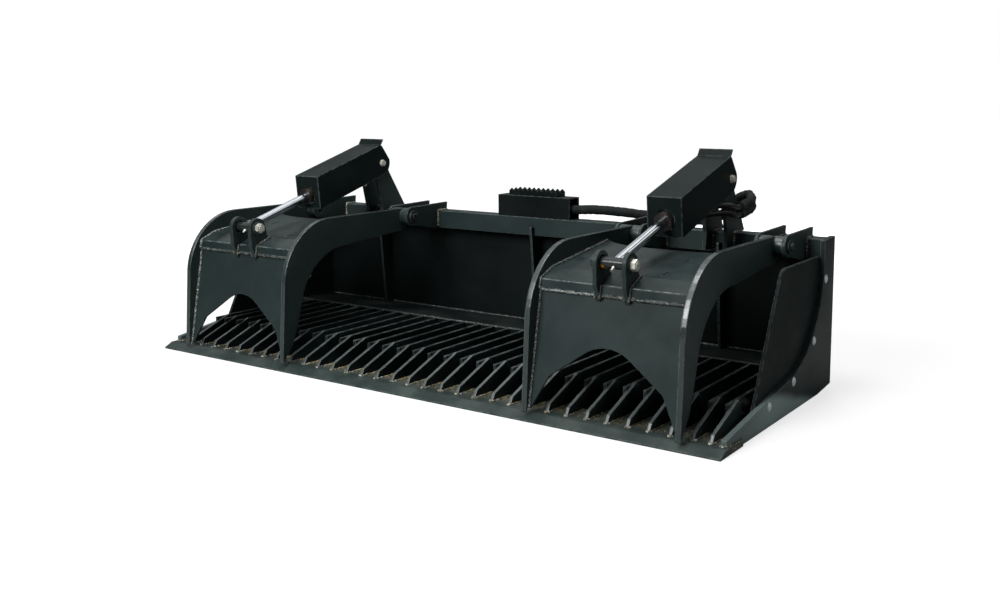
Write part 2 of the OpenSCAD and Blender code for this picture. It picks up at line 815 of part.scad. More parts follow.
// The face plate leans back with the arms' front edges; its outline is [x, height above its foot]
module face_plate(side) {
    flank = [for (p = arch_flank()) [p[0], (p[1] - face_z)/cos(face_lean)]];
    mirrored = [for (i = [len(flank) - 1:-1:1]) [-flank[i][0], flank[i][1]]];
    w = face_w/2 - face_gap;
    foot = (arch_leg_z - face_z)/cos(face_lean);
    color(paint) placed() translate([side*jaw_x, face_y, face_z]) rotate([90 - face_lean, 0, 0])
        translate([0, 0, -face_t]) linear_extrude(face_t)
            polygon(concat([[-w, foot], [-w, face_len], [w, face_len], [w, foot]],
                [for (i = [len(flank) - 1:-1:0]) flank[i]], [for (i = [len(mirrored) - 1:-1:0]) mirrored[i]]));
}

module left_face_plate() { face_plate(-1); }
module right_face_plate() { face_plate(1); }

// The top plate: a flange over the face plate, a steep strip, then a long shallow roof
function top_section() =
    let (lip = [sin(face_lean), cos(face_lean)], out = top_t*[-cos(face_lean), sin(face_lean)],
        fold = [fold_y, fold_z], start = fold - top_lip*lip)
    [start, start + out, fold + out, [fold2_y - fold_share*top_t, fold2_z + top_t],
        [top_rear_y, top_rear_z + top_t],
        [top_rear_y, top_rear_z], [fold2_y, fold2_z], fold];

// Plan of what the scoop takes away: nearly straight, then curving back along the arms
function scoop() =
    let (half = face_w/2, rise = top_rear_y - scoop_y, steps = 16)
    concat([for (i = [-steps:steps]) [half*i/steps, scoop_y + rise*pow(abs(i)/steps, 4)]],
        [[half, top_rear_y + over], [-half, top_rear_y + over]]);

module top_plate(side) {
    color(paint) placed() difference() {
        upright(side*jaw_x, face_w - 2*face_gap) polygon(top_section());
        for (e = [-1, 1]) for (y = slit_y)
            translate([side*jaw_x + e*stiff_x - slit_w/2, y, fold_z]) cube([slit_w, slit_len, stiff_h*2]);
        translate([side*jaw_x, 0, fold_z]) linear_extrude(stiff_h*2) polygon(scoop());
    }
}

module left_top_plate() { top_plate(-1); }
module right_top_plate() { top_plate(1); }

// Stiffeners stand under the top plate
function roof_z(y) = fold2_z + (top_rear_z - fold2_z)*(y - fold2_y)/(top_rear_y - fold2_y);

module stiffeners(side) {
    start = fold2_y + stiff_front;
    end = scoop_y - stiff_back;
    low = end - stiff_ramp;
    color(paint) placed() for (e = [-1, 1])
        upright(side*jaw_x + e*stiff_x, stiff_t)
            polygon([[start, roof_z(start)], [start, roof_z(start) - stiff_toe],
                [start + stiff_ramp, roof_z(start) - stiff_h], [low, roof_z(low) - stiff_h],
                [end, roof_z(end) - stiff_toe], [end, roof_z(end)]]);
}

module left_stiffeners() { stiffeners(-1); }
module right_stiffeners() { stiffeners(1); }

module hinge_bosses(side) {
    play = 0.5;
    len = (ear_gap - ear_t - arm_t)/2 - play;
    color(worn) placed() for (arm = [-1, 1]) for (e = [-1, 1]) {
        x = side*jaw_x + arm*arm_x + e*(arm_t + len)/2;
        difference() {
            bar_x(x, hinge_y, hinge_z, len, boss_d/2);
            hole_x(x, hinge_y, hinge_z, len, hinge_pin_d/2 + pin_clear);
        }
    }
}

module left_hinge_bosses() { hinge_bosses(-1); }
module right_hinge_bosses() { hinge_bosses(1); }

// Lugs straddle the fold: their feet follow the top plate and the face plate
module rod_lugs(side) {
    pin = [rod_pin_y, rod_pin_z];
    out = top_t*[-cos(face_lean), sin(face_lean)];
    function face_line(z) = face_y + (z - face_z)*tan(face_lean);
    foot_z = fold_z - top_lip - lug_foot_gap;
    heel_y = pin[0] + lug_rear;
    color(paint) placed() for (e = [-0.5, 0.5]) {
        x = side*jaw_x + cyl_shift + e*lug_gap;
        difference() {
            upright(x, lug_t) polygon(concat(arc(pin, lug_r, 20, 180, 14),
                [[pin[0] - lug_r + lug_front_in, pin[1] - lug_front_drop],
                    [face_line(lug_low_z) - lug_toe, lug_low_z],
                    [face_line(lug_low_z), lug_low_z], [face_line(foot_z), foot_z],
                    [face_line(foot_z) + out[0], foot_z + out[1]],
                    [fold_y, fold_z] + out, [fold2_y - fold_share*top_t, fold2_z + top_t]],
                [[heel_y, roof_z(heel_y) + top_t + lug_back_h]]));
            hole_x(x, rod_pin_y, rod_pin_z, lug_t, lug_hole_r);
        }
    }
}

module left_rod_lugs() { rod_lugs(-1); }
module right_rod_lugs() { rod_lugs(1); }

// Cylinders

port_base_inset = 32;
port_rod_inset = 42;
port_s = [barrel_start + port_base_inset, barrel_end - port_rod_inset];
port_boss_sink = 4;
port_boss_r = 14;
port_boss_h = 8;
port_hole_r = 7;

module barrel(side) {
    color(paint) placed() cylinder_frame(side) difference() {
        union() {
            translate([0, 0, barrel_start]) cylinder(h = barrel_end - barrel_start, r = barrel_d/2);
            for (s = port_s)
                translate([0, -barrel_d/2 + port_boss_sink, s]) rotate([90, 0, 0])
                    cylinder(h = port_boss_h + port_boss_sink, r = port_boss_r);
        }
        translate([0, 0, barrel_start - over])
            cylinder(h = barrel_end - barrel_start + 2*over, r = bore_d/2);
        for (s = port_s)
            translate([0, 0, s]) rotate([90, 0, 0]) cylinder(h = barrel_d, r = port_hole_r);
    }
}

module left_barrel() { barrel(-1); }
module right_barrel() { barrel(1); }

gland_seat = 34;
gland_back = barrel_end - gland_seat;
gland_head_r = 28;

module gland(side) {
    color(steel) placed() cylinder_frame(side) difference() {
        union() {
            translate([0, 0, gland_back]) cylinder(h = barrel_end - gland_back, r = bore_d/2 - pin_clear);
            translate([0, 0, barrel_end]) cylinder(h = gland_end - barrel_end, r = gland_head_r);
        }
        translate([0, 0, gland_back - over])
            cylinder(h = gland_end - gland_back + 2*over, r = rod_d/2 + pin_clear);
    }
}

module left_gland() { gland(-1); }
module right_gland() { gland(1); }

base_eye_d = 50.8;
base_plug = 25;
base_plug_step = 4;

module base_eye(side) {
    color(paint) placed() cylinder_frame(side) difference() {
        union() {
            rotate([0, 90, 0]) cylinder(h = base_eye_w, r = base_eye_d/2, center = true);
            translate([0, 0, barrel_start - base_plug]) cylinder(h = base_plug, r = barrel_d/2 - base_plug_step);
            translate([-base_eye_d/2, -base_eye_d/2, 0])
                cube([base_eye_d, base_eye_d, barrel_start - base_plug]);
        }
        rotate([0, 90, 0]) cylinder(h = base_eye_w + 2*over, r = base_pin_d/2 + pin_clear, center = true);
    }
}

module left_base_eye() { base_eye(-1); }
module right_base_eye() { base_eye(1); }

cover_tail_run = 30;
cover_back = [20, 6];
cover_top_back = 11;
cover_lip_angle = 40;

// Side of the cover as [distance from the base pin, height above the axis]
function cover_side() =
    concat([cover_corner(1), cover_corner(-1), [cover_tail_run, -cover_down]],
        arc([0, 0], cover_rear_r, -90, -180, 8),
        [[-cover_back[0], cover_up - cover_back[1]], [-cover_top_back, cover_up]]);

// Top and bottom front corners of the leaning front
function cover_corner(end) =
    end > 0 ? [cover_front - cover_up*tan(cover_lean), cover_up]
        : [cover_front + cover_down*tan(cover_lean), -cover_down];

// The lip bends up from the cover's rear edge
function cover_lip_section() =
    let (a = cover_lip_angle, fold = [-cover_top_back, cover_up], end = fold + cover_lip*[-cos(a), sin(a)])
    [fold, end, end - cover_t*[sin(a), cos(a)], fold - cover_t*[tan(a/2), 1], fold - cover_t*[0, 1]];

module cover(side) {
    inner = cover_w/2 - cover_t;
    front = [cover_t/cos(cover_lean), 0];
    color(paint) placed() cylinder_frame(side) difference() {
        union() {
            for (e = [-1, 1])
                translate([e*(cover_w - cover_t)/2 + cover_t/2, 0, 0]) rotate([0, -90, 0])
                    linear_extrude(cover_t) polygon(cover_side());
            translate([inner + over, 0, 0]) rotate([0, -90, 0]) linear_extrude(2*(inner + over)) {
                polygon([[-cover_top_back, cover_up - cover_t], [-cover_top_back, cover_up],
                    cover_corner(1), cover_corner(1) - [0, cover_t]]);
                polygon([cover_corner(1) - front, cover_corner(1), cover_corner(-1), cover_corner(-1) - front]);
            }
            translate([cover_w/2, 0, 0]) rotate([0, -90, 0]) linear_extrude(cover_w)
                polygon(cover_lip_section());
        }
        translate([0, 0, cover_front - cover_up]) cylinder(h = 2*cover_up, r = cover_hole_d/2);
        rotate([0, 90, 0]) cylinder(h = cover_w + 2*over, r = keeper_bolt_d/2 + pin_clear, center = true);
    }
}

module left_cover() { cover(-1); }
module right_cover() { cover(1); }

// A hex adapter in each port, and an elbow: the base port's turns sideways, the rod port's back
fitting_af = 24;
fitting_h = 8;
elbow_w = 18;
elbow_r = 8;
elbow_reach = 26;

module port_fittings(side) {
    low = barrel_d/2 + port_boss_h;
    drop = low + fitting_h + elbow_w/2;
    turns = [[0, 90, 0], [180, 0, 0]];
    color(zinc) placed() cylinder_frame(side) for (i = [0, 1]) union() {
        translate([0, -low, port_s[i]]) rotate([90, 0, 0])
            cylinder(h = fitting_h, r = fitting_af/2/cos(30), $fn = 6);
        translate([-elbow_w/2, -drop - elbow_w/2, port_s[i] - elbow_w/2]) cube(elbow_w);
        translate([0, -drop, port_s[i]]) rotate(turns[i]) cylinder(h = elbow_reach, r = elbow_r);
    }
}

module left_port_fittings() { port_fittings(-1); }
module right_port_fittings() { port_fittings(1); }

module right_port_hoses() {
    color(rubber) placed() {
        hose(carried(rod_hose_route), small_hose_d);
        hose(carried(base_hose_route), small_hose_d);
    }
}

piston_front = gland_back - spare_stroke;
rod_tail = 8;

module rod(side) {
    start = piston_front - piston_len - rod_tail;
    color(steel) placed() cylinder_frame(side) difference() {
        union() {
            translate([0, 0, start]) cylinder(h = pin_to_pin - start, r = rod_d/2);
            translate([0, 0, pin_to_pin]) rotate([0, 90, 0])
                cylinder(h = cross_tube_w, r = cross_tube_d/2, center = true);
        }
        translate([0, 0, pin_to_pin]) rotate([0, 90, 0])
            cylinder(h = cross_tube_w + 2*over, r = rod_pin_d/2 + pin_clear, center = true);
    }
}

module left_rod() { rod(-1); }
module right_rod() { rod(1); }

module piston(side) {
    color(steel) placed() cylinder_frame(side) difference() {
        translate([0, 0, piston_front - piston_len]) cylinder(h = piston_len, r = bore_d/2 - pin_clear);
        translate([0, 0, piston_front - piston_len - over])
            cylinder(h = piston_len + 2*over, r = rod_d/2);
    }
}

module left_piston() { piston(-1); }
module right_piston() { piston(1); }

// The rod pin is a bolt with broad washers outside the lugs
module rod_pin(side) {
    mid = side*jaw_x + cyl_shift;
    reach = lug_gap/2 + lug_t/2 + hole_clear;
    color(zinc) placed() {
        bar_x(mid, rod_pin_y, rod_pin_z, 2*(reach + washer_t + rod_nut_h + rod_pin_tail), rod_pin_d/2);
        for (e = [-1, 1]) {
            nut_x = mid + e*(reach + washer_t + rod_nut_h/2);
            difference() {
                bar_x(mid + e*(reach + washer_t/2), rod_pin_y, rod_pin_z, washer_t, washer_r);
                hole_x(mid + e*(reach + washer_t/2), rod_pin_y, rod_pin_z, washer_t, rod_pin_d/2);
            }
            difference() {
                hex_x(nut_x, rod_pin_y, rod_pin_z, rod_nut_h, rod_nut_af);
                hole_x(nut_x, rod_pin_y, rod_pin_z, rod_nut_h, rod_pin_d/2);
            }
        }
    }
}

module left_rod_pin() { rod_pin(-1); }
module right_rod_pin() { rod_pin(1); }

cutting_edge();
front_tines();
grid_bars();
floor_cross_bars();
rear_floor_plate();
heel_plate();
back_wall();
top_beam();
back_ribs();
side_plate_left();
side_plate_right();
side_panel_left();
side_panel_right();
panel_bolts();
hinge_ears();
hinge_pins();
cylinder_towers();
base_pins();
attach_plate();
attach_top_lip();
attach_bottom_flange();
attach_gussets();
step_box();
step_pad();
hydraulic_block();
hose_trunk();
hose_loop();
left_outer_arm();
left_inner_arm();
left_face_plate();
left_top_plate();
left_stiffeners();
left_hinge_bosses();
left_rod_lugs();
left_barrel();
left_gland();
left_base_eye();
left_cover();
left_port_fittings();
left_rod();
left_piston();
left_rod_pin();
right_outer_arm();
right_inner_arm();
right_face_plate();
right_top_plate();
right_stiffeners();
right_hinge_bosses();
right_rod_lugs();
right_barrel();
right_gland();
right_base_eye();
right_cover();
right_port_fittings();
right_port_hoses();
right_rod();
right_piston();
right_rod_pin();
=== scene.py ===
"""The looks of a rock grapple: a skeleton bucket with two hydraulic jaws.

The part's frame is in metres: X to the right, Y from the cutting edge to the loader, Z up. Places on the
part are in millimetres, with Y from the cutting edge's front, and mm() turns them into that frame.
"""

import math

import bpy
from mathutils import Matrix, Vector, noise


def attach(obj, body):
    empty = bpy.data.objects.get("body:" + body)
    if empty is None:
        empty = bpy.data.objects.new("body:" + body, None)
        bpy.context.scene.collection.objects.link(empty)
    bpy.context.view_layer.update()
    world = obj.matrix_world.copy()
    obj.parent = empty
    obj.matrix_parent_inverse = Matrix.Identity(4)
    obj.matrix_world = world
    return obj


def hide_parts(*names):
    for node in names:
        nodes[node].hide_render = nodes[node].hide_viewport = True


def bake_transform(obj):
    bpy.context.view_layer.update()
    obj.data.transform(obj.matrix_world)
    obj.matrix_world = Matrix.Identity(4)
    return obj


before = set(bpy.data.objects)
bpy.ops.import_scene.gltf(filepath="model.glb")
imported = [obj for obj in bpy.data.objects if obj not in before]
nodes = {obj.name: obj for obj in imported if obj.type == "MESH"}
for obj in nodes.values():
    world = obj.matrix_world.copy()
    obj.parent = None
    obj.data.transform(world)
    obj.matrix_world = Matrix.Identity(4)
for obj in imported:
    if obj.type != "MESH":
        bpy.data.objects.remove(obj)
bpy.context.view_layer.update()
scene = bpy.context.scene

SIDES = {"left": -1, "right": 1}

# Photograph frame and the camera solved from it

PHOTO_W = 1000
PHOTO_H = 600
FOCAL_PX = 1067.5
VIEW_CENTRE_PX = (534.1, 236.2)
SENSOR = 36
CAMERA_AT = Vector((2.099, -2.787, 0.889))
CAMERA_YAW = math.radians(34.03)
CAMERA_PITCH = math.radians(7.5)
CAMERA_ROLL = math.radians(-0.07)


def add_camera():
    data = bpy.data.cameras.new("photo_camera")
    data.sensor_width = SENSOR
    data.lens = FOCAL_PX*SENSOR/PHOTO_W
    data.shift_x = (PHOTO_W/2 - VIEW_CENTRE_PX[0])/PHOTO_W
    data.shift_y = (VIEW_CENTRE_PX[1] - PHOTO_H/2)/PHOTO_W
    data.clip_end = 100
    camera = bpy.data.objects.new("photo_camera", data)
    scene.collection.objects.link(camera)
    ahead = Vector((-math.sin(CAMERA_YAW)*math.cos(CAMERA_PITCH),
                    math.cos(CAMERA_YAW)*math.cos(CAMERA_PITCH), -math.sin(CAMERA_PITCH)))
    right = Vector((math.cos(CAMERA_YAW), math.sin(CAMERA_YAW), 0))
    turn = Matrix((right, right.cross(ahead), -ahead)).transposed()
    camera.matrix_world = (Matrix.Translation(CAMERA_AT) @ turn.to_4x4()
                           @ Matrix.Rotation(CAMERA_ROLL, 4, "Z"))
    scene.camera = camera


# Sizes and places on the part, in millimetres

HALF_DEPTH = 445
JAW_X = 713
ARM_X = 235
CYLINDER_SHIFT = 5
ROD_PIN = (84, 450)
TUBE_R = 16
TUBE_HALF = 37
LUG_X = 44.5
LUG_T = 12.7
WASHER_REACH = 3.6

TINE_T = 9.5
TINE_PITCH = 63.4
TINE_SHIFT = 14
TINE_FRONT = 55
END_TINES = (-983.5, 1015.75)
TINE_X = [END_TINES[0]] + [TINE_SHIFT + k*TINE_PITCH for k in range(-15, 16)] + [END_TINES[1]]
EDGE_T = 19

BEAM_FRONT = 760.5
BEAM_FOOT = 398.5
BEAM_TOP = 462
BACK_Y = 824
WALL_Y = 814.5
INSIDE_HALF = 1033
REAR_FLOOR_SEAM = 80.5
GRATE_REAR = (599, 93.5)
EAR_T = 9.5
EAR_SPAN = 86
TOWER_T = 12.7
TOWER_SPAN = 71

FACE_HALF = 226.6
FACE_FOOT = (20, 34)
FACE_BASE = 30
FOLD = (84, 388)
SECOND_FOLD = (137, 406)
ROOF_REAR = (453, 448)
ROOF_SEAM_END = 440
ROOF_T = 6.5
FLANGE = 27
LEAN = math.atan2(FOLD[0] - FACE_FOOT[0], FOLD[1] - FACE_BASE)
LIP = (FOLD[0] - FLANGE*math.sin(LEAN), FOLD[1] - FLANGE*math.cos(LEAN))


def mm(points):
    """Points in millimetres from the cutting edge's front, as places in the part's frame."""
    return [Vector((x/1000, y/1000 - HALF_DEPTH/1000, z/1000)) for x, y, z in points]


def roof_height(y):
    (y1, z1), (y2, z2) = SECOND_FOLD, ROOF_REAR
    return z1 + (z2 - z1)*(y - y1)/(y2 - y1)


# Node helpers

def feed(tree, value, socket):
    """Links a socket, or sets a plain value."""
    if isinstance(value, bpy.types.NodeSocket):
        tree.links.new(value, socket)
    else:
        socket.default_value = value


def add_node(tree, kind, **settings):
    """A shader node with its properties and inputs set by name."""
    made = tree.nodes.new("ShaderNode" + kind)
    for name, value in settings.items():
        if hasattr(made, name):
            setattr(made, name, value)
        else:
            feed(tree, value, made.inputs[name])
    return made


def maths(tree, operation, a, b=0.0, clamp=False):
    made = add_node(tree, "Math", operation=operation, use_clamp=clamp)
    feed(tree, a, made.inputs[0])
    feed(tree, b, made.inputs[1])
    return made.outputs[0]


def times(tree, a, b, clamp=False):
    return maths(tree, "MULTIPLY", a, b, clamp)


def measured(tree, operation, a, b):
    """One number from two vectors."""
    made = add_node(tree, "VectorMath", operation=operation)
    feed(tree, a, made.inputs[0])
    feed(tree, b, made.inputs[1])
    return made.outputs["Value"]


def spread(tree, value, low, high, to_low=0.0, to_high=1.0):
    """Maps low..high to to_low..to_high, smoothly and clamped."""
    made = add_node(tree, "MapRange", interpolation_type="SMOOTHSTEP", Value=value)
    for name, number in (("From Min", low), ("From Max", high), ("To Min", to_low), ("To Max", to_high)):
        feed(tree, number, made.inputs[name])
    return made.outputs["Result"]


def mix(tree, share, a, b):
    """Blends two colours by a mask."""
    made = add_node(tree, "Mix", data_type="RGBA", Factor=share)
    feed(tree, a, made.inputs[6])
    feed(tree, b, made.inputs[7])
    return made.outputs[2]


def cloud(tree, where, scale, detail=4.0, rough=0.55):
    made = add_node(tree, "TexNoise", Vector=where, Scale=scale, Detail=detail, Roughness=rough)
    return made.outputs["Fac"]


def object_place(tree):
    return add_node(tree, "TexCoord").outputs["Object"]


def axes(tree, vector):
    return add_node(tree, "SeparateXYZ", Vector=vector).outputs


def new_group(name, inputs, outputs):
    """An empty node group: its inputs with their defaults, and its outputs with their kinds."""
    group = bpy.data.node_groups.new(name, "ShaderNodeTree")
    for label, default in inputs.items():
        kind = "NodeSocketFloat" if isinstance(default, float) else "NodeSocketVector"
        group.interface.new_socket(label, in_out="INPUT", socket_type=kind).default_value = default
    for label, kind in outputs.items():
        group.interface.new_socket(label, in_out="OUTPUT", socket_type="NodeSocket" + kind)
    return group, group.nodes.new("NodeGroupInput").outputs, group.nodes.new("NodeGroupOutput").inputs


def place_group(tree, group, **values):
    made = tree.nodes.new("ShaderNodeGroup")
    made.node_tree = group
    for name, value in values.items():
        feed(tree, value, made.inputs[name])
    return made.outputs


# Effects that more than one finish uses

def edge_wear_effect():
    """Where paint is thin: a mask along sharp edges, and a normal that rounds them."""
    group, given, out = new_group("edge_wear", {"Radius": 0.003, "Amount": 0.5, "Breakup": 60.0},
                                  {"Mask": "Float", "Rounded": "Vector"})
    rounded = add_node(group, "Bevel", samples=6, Radius=given["Radius"]).outputs["Normal"]
    flat = add_node(group, "NewGeometry").outputs["True Normal"]
    edge = spread(group, measured(group, "DOT_PRODUCT", rounded, flat), 0.99, 0.86)
    worn = spread(group, cloud(group, object_place(group), given["Breakup"], 5.0, 0.5), 0.34, 0.58)
    feed(group, times(group, times(group, edge, worn), given["Amount"], clamp=True), out["Mask"])
    feed(group, rounded, out["Rounded"])
    return group


def settled_dust_effect():
    """Dust that lies on whatever faces up at rest, in patches."""
    group, given, out = new_group("settled_dust", {"Amount": 0.5, "Patch": 9.0}, {"Mask": "Float"})
    where = object_place(group)
    facing = add_node(group, "TexCoord").outputs["Normal"]
    up = spread(group, axes(group, facing)["Z"], 0.35, 0.95)
    lies = spread(group, cloud(group, where, given["Patch"], 7.0, 0.62), 0.40, 0.68)
    grains = spread(group, cloud(group, where, 420.0, 2.0), 0.45, 0.62, 0.55, 1.0)
    mask = times(group, times(group, up, lies), grains)
    feed(group, times(group, mask, given["Amount"], clamp=True), out["Mask"])
    return group


def sprayed_paint_effect():
    """The uneven film of sprayed paint: a slow tone change and a fine orange-peel height."""
    group, given, out = new_group("sprayed_paint", {"Cloud": 4.0, "Peel": 260.0},
                                  {"Tone": "Float", "Height": "Float"})
    where = object_place(group)
    feed(group, spread(group, cloud(group, where, given["Cloud"], 6.0, 0.6), 0.3, 0.7), out["Tone"])
    feed(group, cloud(group, where, given["Peel"], 2.0, 0.5), out["Height"])
    return group


def blotches_effect():
    """The blotchy tone of bare or plated metal."""
    group, given, out = new_group("metal_blotches", {"Grain": 90.0}, {"Mask": "Float"})
    feed(group, spread(group, cloud(group, object_place(group), given["Grain"], 5.0), 0.35, 0.7), out["Mask"])
    return group


def weld_specks_effect():
    """Bare specks of two sizes on a weld bead; Painted says how much of it stays painted."""
    group, given, out = new_group("weld_specks", {"Scale": 130.0, "Painted": 0.52},
                                  {"Coarse": "Float", "Fine": "Float"})
    where = object_place(group)
    for label, finer, rarer in (("Coarse", 1.0, 0.0), ("Fine", 1.7, 0.03)):
        specks = cloud(group, where, times(group, given["Scale"], finer), 3.0, 0.6)
        low = maths(group, "ADD", given["Painted"], rarer)
        feed(group, spread(group, specks, low, maths(group, "ADD", low, 0.07)), out[label])
    return group


def sleeve_weave_effect():
    """Woven nylon: the height of a fine diagonal weave, and a mask where it has faded."""
    group, given, out = new_group("sleeve_weave", {"Weave": 160.0, "Patch": 25.0},
                                  {"Faded": "Float", "Height": "Float"})
    where = object_place(group)
    weave = add_node(group, "TexWave", wave_type="BANDS", bands_direction="DIAGONAL", Vector=where,
                     Scale=given["Weave"], Distortion=1.5)
    feed(group, spread(group, cloud(group, where, given["Patch"], 5.0), 0.35, 0.7), out["Faded"])
    feed(group, weave.outputs["Fac"], out["Height"])
    return group


def bare_tube_effect():
    """Bare steel tube: its tone, and a broken mask of rust round one spot."""
    group, given, out = new_group("bare_tube", {"Spot": (0.0, 0.0, 0.0), "Reach": 0.017, "Rusted": 0.0},
                                  {"Tone": "Float", "Rust": "Float"})
    where = object_place(group)
    away = measured(group, "DISTANCE", where, given["Spot"])
    near = spread(group, away, given["Reach"], times(group, given["Reach"], 0.45))
    broken = spread(group, cloud(group, where, 120.0, 5.0), 0.40, 0.52)
    feed(group, cloud(group, where, 60.0, 4.0), out["Tone"])
    feed(group, times(group, times(group, near, broken), given["Rusted"]), out["Rust"])
    return group


EFFECTS = {
    "wear": edge_wear_effect(), "dust": settled_dust_effect(), "film": sprayed_paint_effect(),
    "blotches": blotches_effect(), "specks": weld_specks_effect(), "weave": sleeve_weave_effect(),
    "tube": bare_tube_effect()}


# Kinds of finish

FINISHES = {}

PAINT_PEEL = {"Strength": 0.35, "Distance": 0.0006}
WEAVE_PEEL = {"Strength": 0.4, "Distance": 0.0008}
DUST_DULLS = 0.35
WEAR_AND_HIGHLIGHT_FADE = 0.02

THIN = (0.0155, 0.0255, 0.0252, 1)
FULL = (0.0225, 0.0355, 0.0350, 1)
# Much darker tones; on the bucket's inside they are painted shade
DEEP_THIN = (0.003, 0.005, 0.005, 1)
DEEP_FULL = (0.006, 0.009, 0.009, 1)
TAN = (0.42, 0.31, 0.13, 1)


def new_finish(name, metallic=0.0, gloss=0.5):
    """A named material; gives its node tree and its shader's inputs."""
    made = bpy.data.materials.new(name)
    made.use_nodes = True
    FINISHES[name] = made
    shader = made.node_tree.nodes["Principled BSDF"].inputs
    shader["Metallic"].default_value = metallic
    shader["Specular IOR Level"].default_value = gloss
    return made.node_tree, shader


def painted(name, thin, full, bare=(0.20, 0.25, 0.24, 1), rough=(0.34, 0.48), wear=0.5, edge=0.005, dust=0.3,
            dust_colour=(0.10, 0.12, 0.11, 1), patch=9.0, gloss=0.22, under_dust=None, over_dust=None,
            wear_and_highlight_to=None):
    """Satin paint over plate: two tones of film, bare edges, dust on what faces up.

    under_dust and over_dust lay one more colour on it. The last argument keeps the bare edges only in front
    of a given Y; on the roof's front fold that bare edge is partly edge wear and partly a painted highlight.
    """
    tree, shader = new_finish(name, gloss=gloss)
    film = place_group(tree, EFFECTS["film"])
    worn = place_group(tree, EFFECTS["wear"], Radius=edge, Amount=wear)
    dusty = place_group(tree, EFFECTS["dust"], Amount=dust, Patch=patch)
    colour = mix(tree, film["Tone"], thin, full)
    if under_dust:
        colour = under_dust(tree, colour)
    colour = mix(tree, dusty["Mask"], colour, dust_colour)
    if over_dust:
        colour = over_dust(tree, colour)
    bared = worn["Mask"]
    if wear_and_highlight_to is not None:
        y = axes(tree, object_place(tree))["Y"]
        bared = times(tree, bared, spread(tree, y, wear_and_highlight_to + WEAR_AND_HIGHLIGHT_FADE, wear_and_highlight_to))
    feed(tree, mix(tree, bared, colour, bare), shader["Base Color"])
    sheen = spread(tree, film["Tone"], 0.0, 1.0, *rough)
    sheen = maths(tree, "ADD", sheen, times(tree, dusty["Mask"], DUST_DULLS), clamp=True)
    feed(tree, sheen, shader["Roughness"])
    bump = add_node(tree, "Bump", Height=film["Height"], Normal=worn["Rounded"], **PAINT_PEEL)
    feed(tree, bump.outputs["Normal"], shader["Normal"])


def metal(name, colour, stained, rough, grain=90.0, metallic=1.0, edge=0.0015, gloss=0.5):
    """Bare or plated metal with a blotchy tone and rounded edges."""
    tree, shader = new_finish(name, metallic, gloss)
    blotch = place_group(tree, EFFECTS["blotches"], Grain=grain)["Mask"]
    feed(tree, mix(tree, blotch, colour, stained), shader["Base Color"])
    feed(tree, spread(tree, blotch, 0.0, 1.0, *rough), shader["Roughness"])
    feed(tree, place_group(tree, EFFECTS["wear"], Radius=edge)["Rounded"], shader["Normal"])


def welded(name, paint, coarse, fine, scale, share):
    """A painted weld bead with bare specks: share is how much of it stays painted."""
    tree, shader = new_finish(name, gloss=0.4)
    specks = place_group(tree, EFFECTS["specks"], Scale=scale, Painted=share)
    colour = mix(tree, specks["Coarse"], paint, coarse)
    feed(tree, mix(tree, specks["Fine"], colour, fine), shader["Base Color"])
    shader["Roughness"].default_value = 0.5


def woven(name, dark, faded):
    """The woven nylon of a hose sleeve."""
    tree, shader = new_finish(name, gloss=0.25)
    weave = place_group(tree, EFFECTS["weave"])
    feed(tree, mix(tree, weave["Faded"], dark, faded), shader["Base Color"])
    shader["Roughness"].default_value = 0.75
    bump = add_node(tree, "Bump", Height=weave["Height"], **WEAVE_PEEL)
    feed(tree, bump.outputs["Normal"], shader["Normal"])


def bare_tube(name, **rust):
    """Dark bare tube, with a rust bloom round one spot where rust says so."""
    tree, shader = new_finish(name)
    tube = place_group(tree, EFFECTS["tube"], **rust)
    colour = mix(tree, tube["Tone"], (0.008, 0.013, 0.013, 1), (0.018, 0.024, 0.023, 1))
    feed(tree, mix(tree, tube["Rust"], colour, (0.55, 0.24, 0.03, 1)), shader["Base Color"])
    shader["Roughness"].default_value = 0.22


# Layers that one finish has, with places in metres

# Sizes of the painted reflection, a pale band along the side plates' foot
REFLECTION_TOP = 0.085
REFLECTION_FADE = 0.03
REFLECTION_TILT = 0.27
REFLECTION_UNEVEN = 0.03
REFLECTION_PALES = (-0.36, -0.08)
GRIT_FRONT = (-0.385, -0.365)
GRIT_REAR = (-0.300, -0.330)


def painted_reflection_band(tree, colour):
    """A painted reflection: a pale band along a side plate's foot. It climbs towards the front, and is paler
    behind the nose.
    """
    where = object_place(tree)
    place = axes(tree, where)
    tilted = maths(tree, "ADD", place["Z"], times(tree, place["Y"], REFLECTION_TILT))
    height = maths(tree, "ADD", tilted, times(tree, cloud(tree, where, 7.0, 3.0), REFLECTION_UNEVEN))
    reflected = mix(tree, spread(tree, place["Y"], *REFLECTION_PALES), (0.105, 0.145, 0.140, 1),
                (0.235, 0.315, 0.305, 1))
    return mix(tree, spread(tree, height, REFLECTION_TOP, REFLECTION_TOP - REFLECTION_FADE, 0.0, 0.85), colour, reflected)


def weld_grit(tree, colour):
    """Pale and tan weld grit strewn across the cutting edge, round the feet of the tines."""
    where = object_place(tree)
    y = axes(tree, where)["Y"]
    band = times(tree, spread(tree, y, *GRIT_FRONT), spread(tree, y, *GRIT_REAR))
    stretched = add_node(tree, "Mapping", vector_type="TEXTURE", Vector=where, Scale=(0.5, 1.0, 1.0))
    stretched = stretched.outputs["Vector"]
    film = spread(tree, cloud(tree, stretched, 38.0, 8.0, 0.7), 0.42, 0.66)
    specks = spread(tree, cloud(tree, stretched, 95.0, 5.0, 0.7), 0.54, 0.62)
    colour = mix(tree, times(tree, times(tree, band, film), 0.7), colour, (0.10, 0.11, 0.095, 1))
    return mix(tree, times(tree, times(tree, band, specks), 0.8), colour, TAN)


# The grapple's finishes

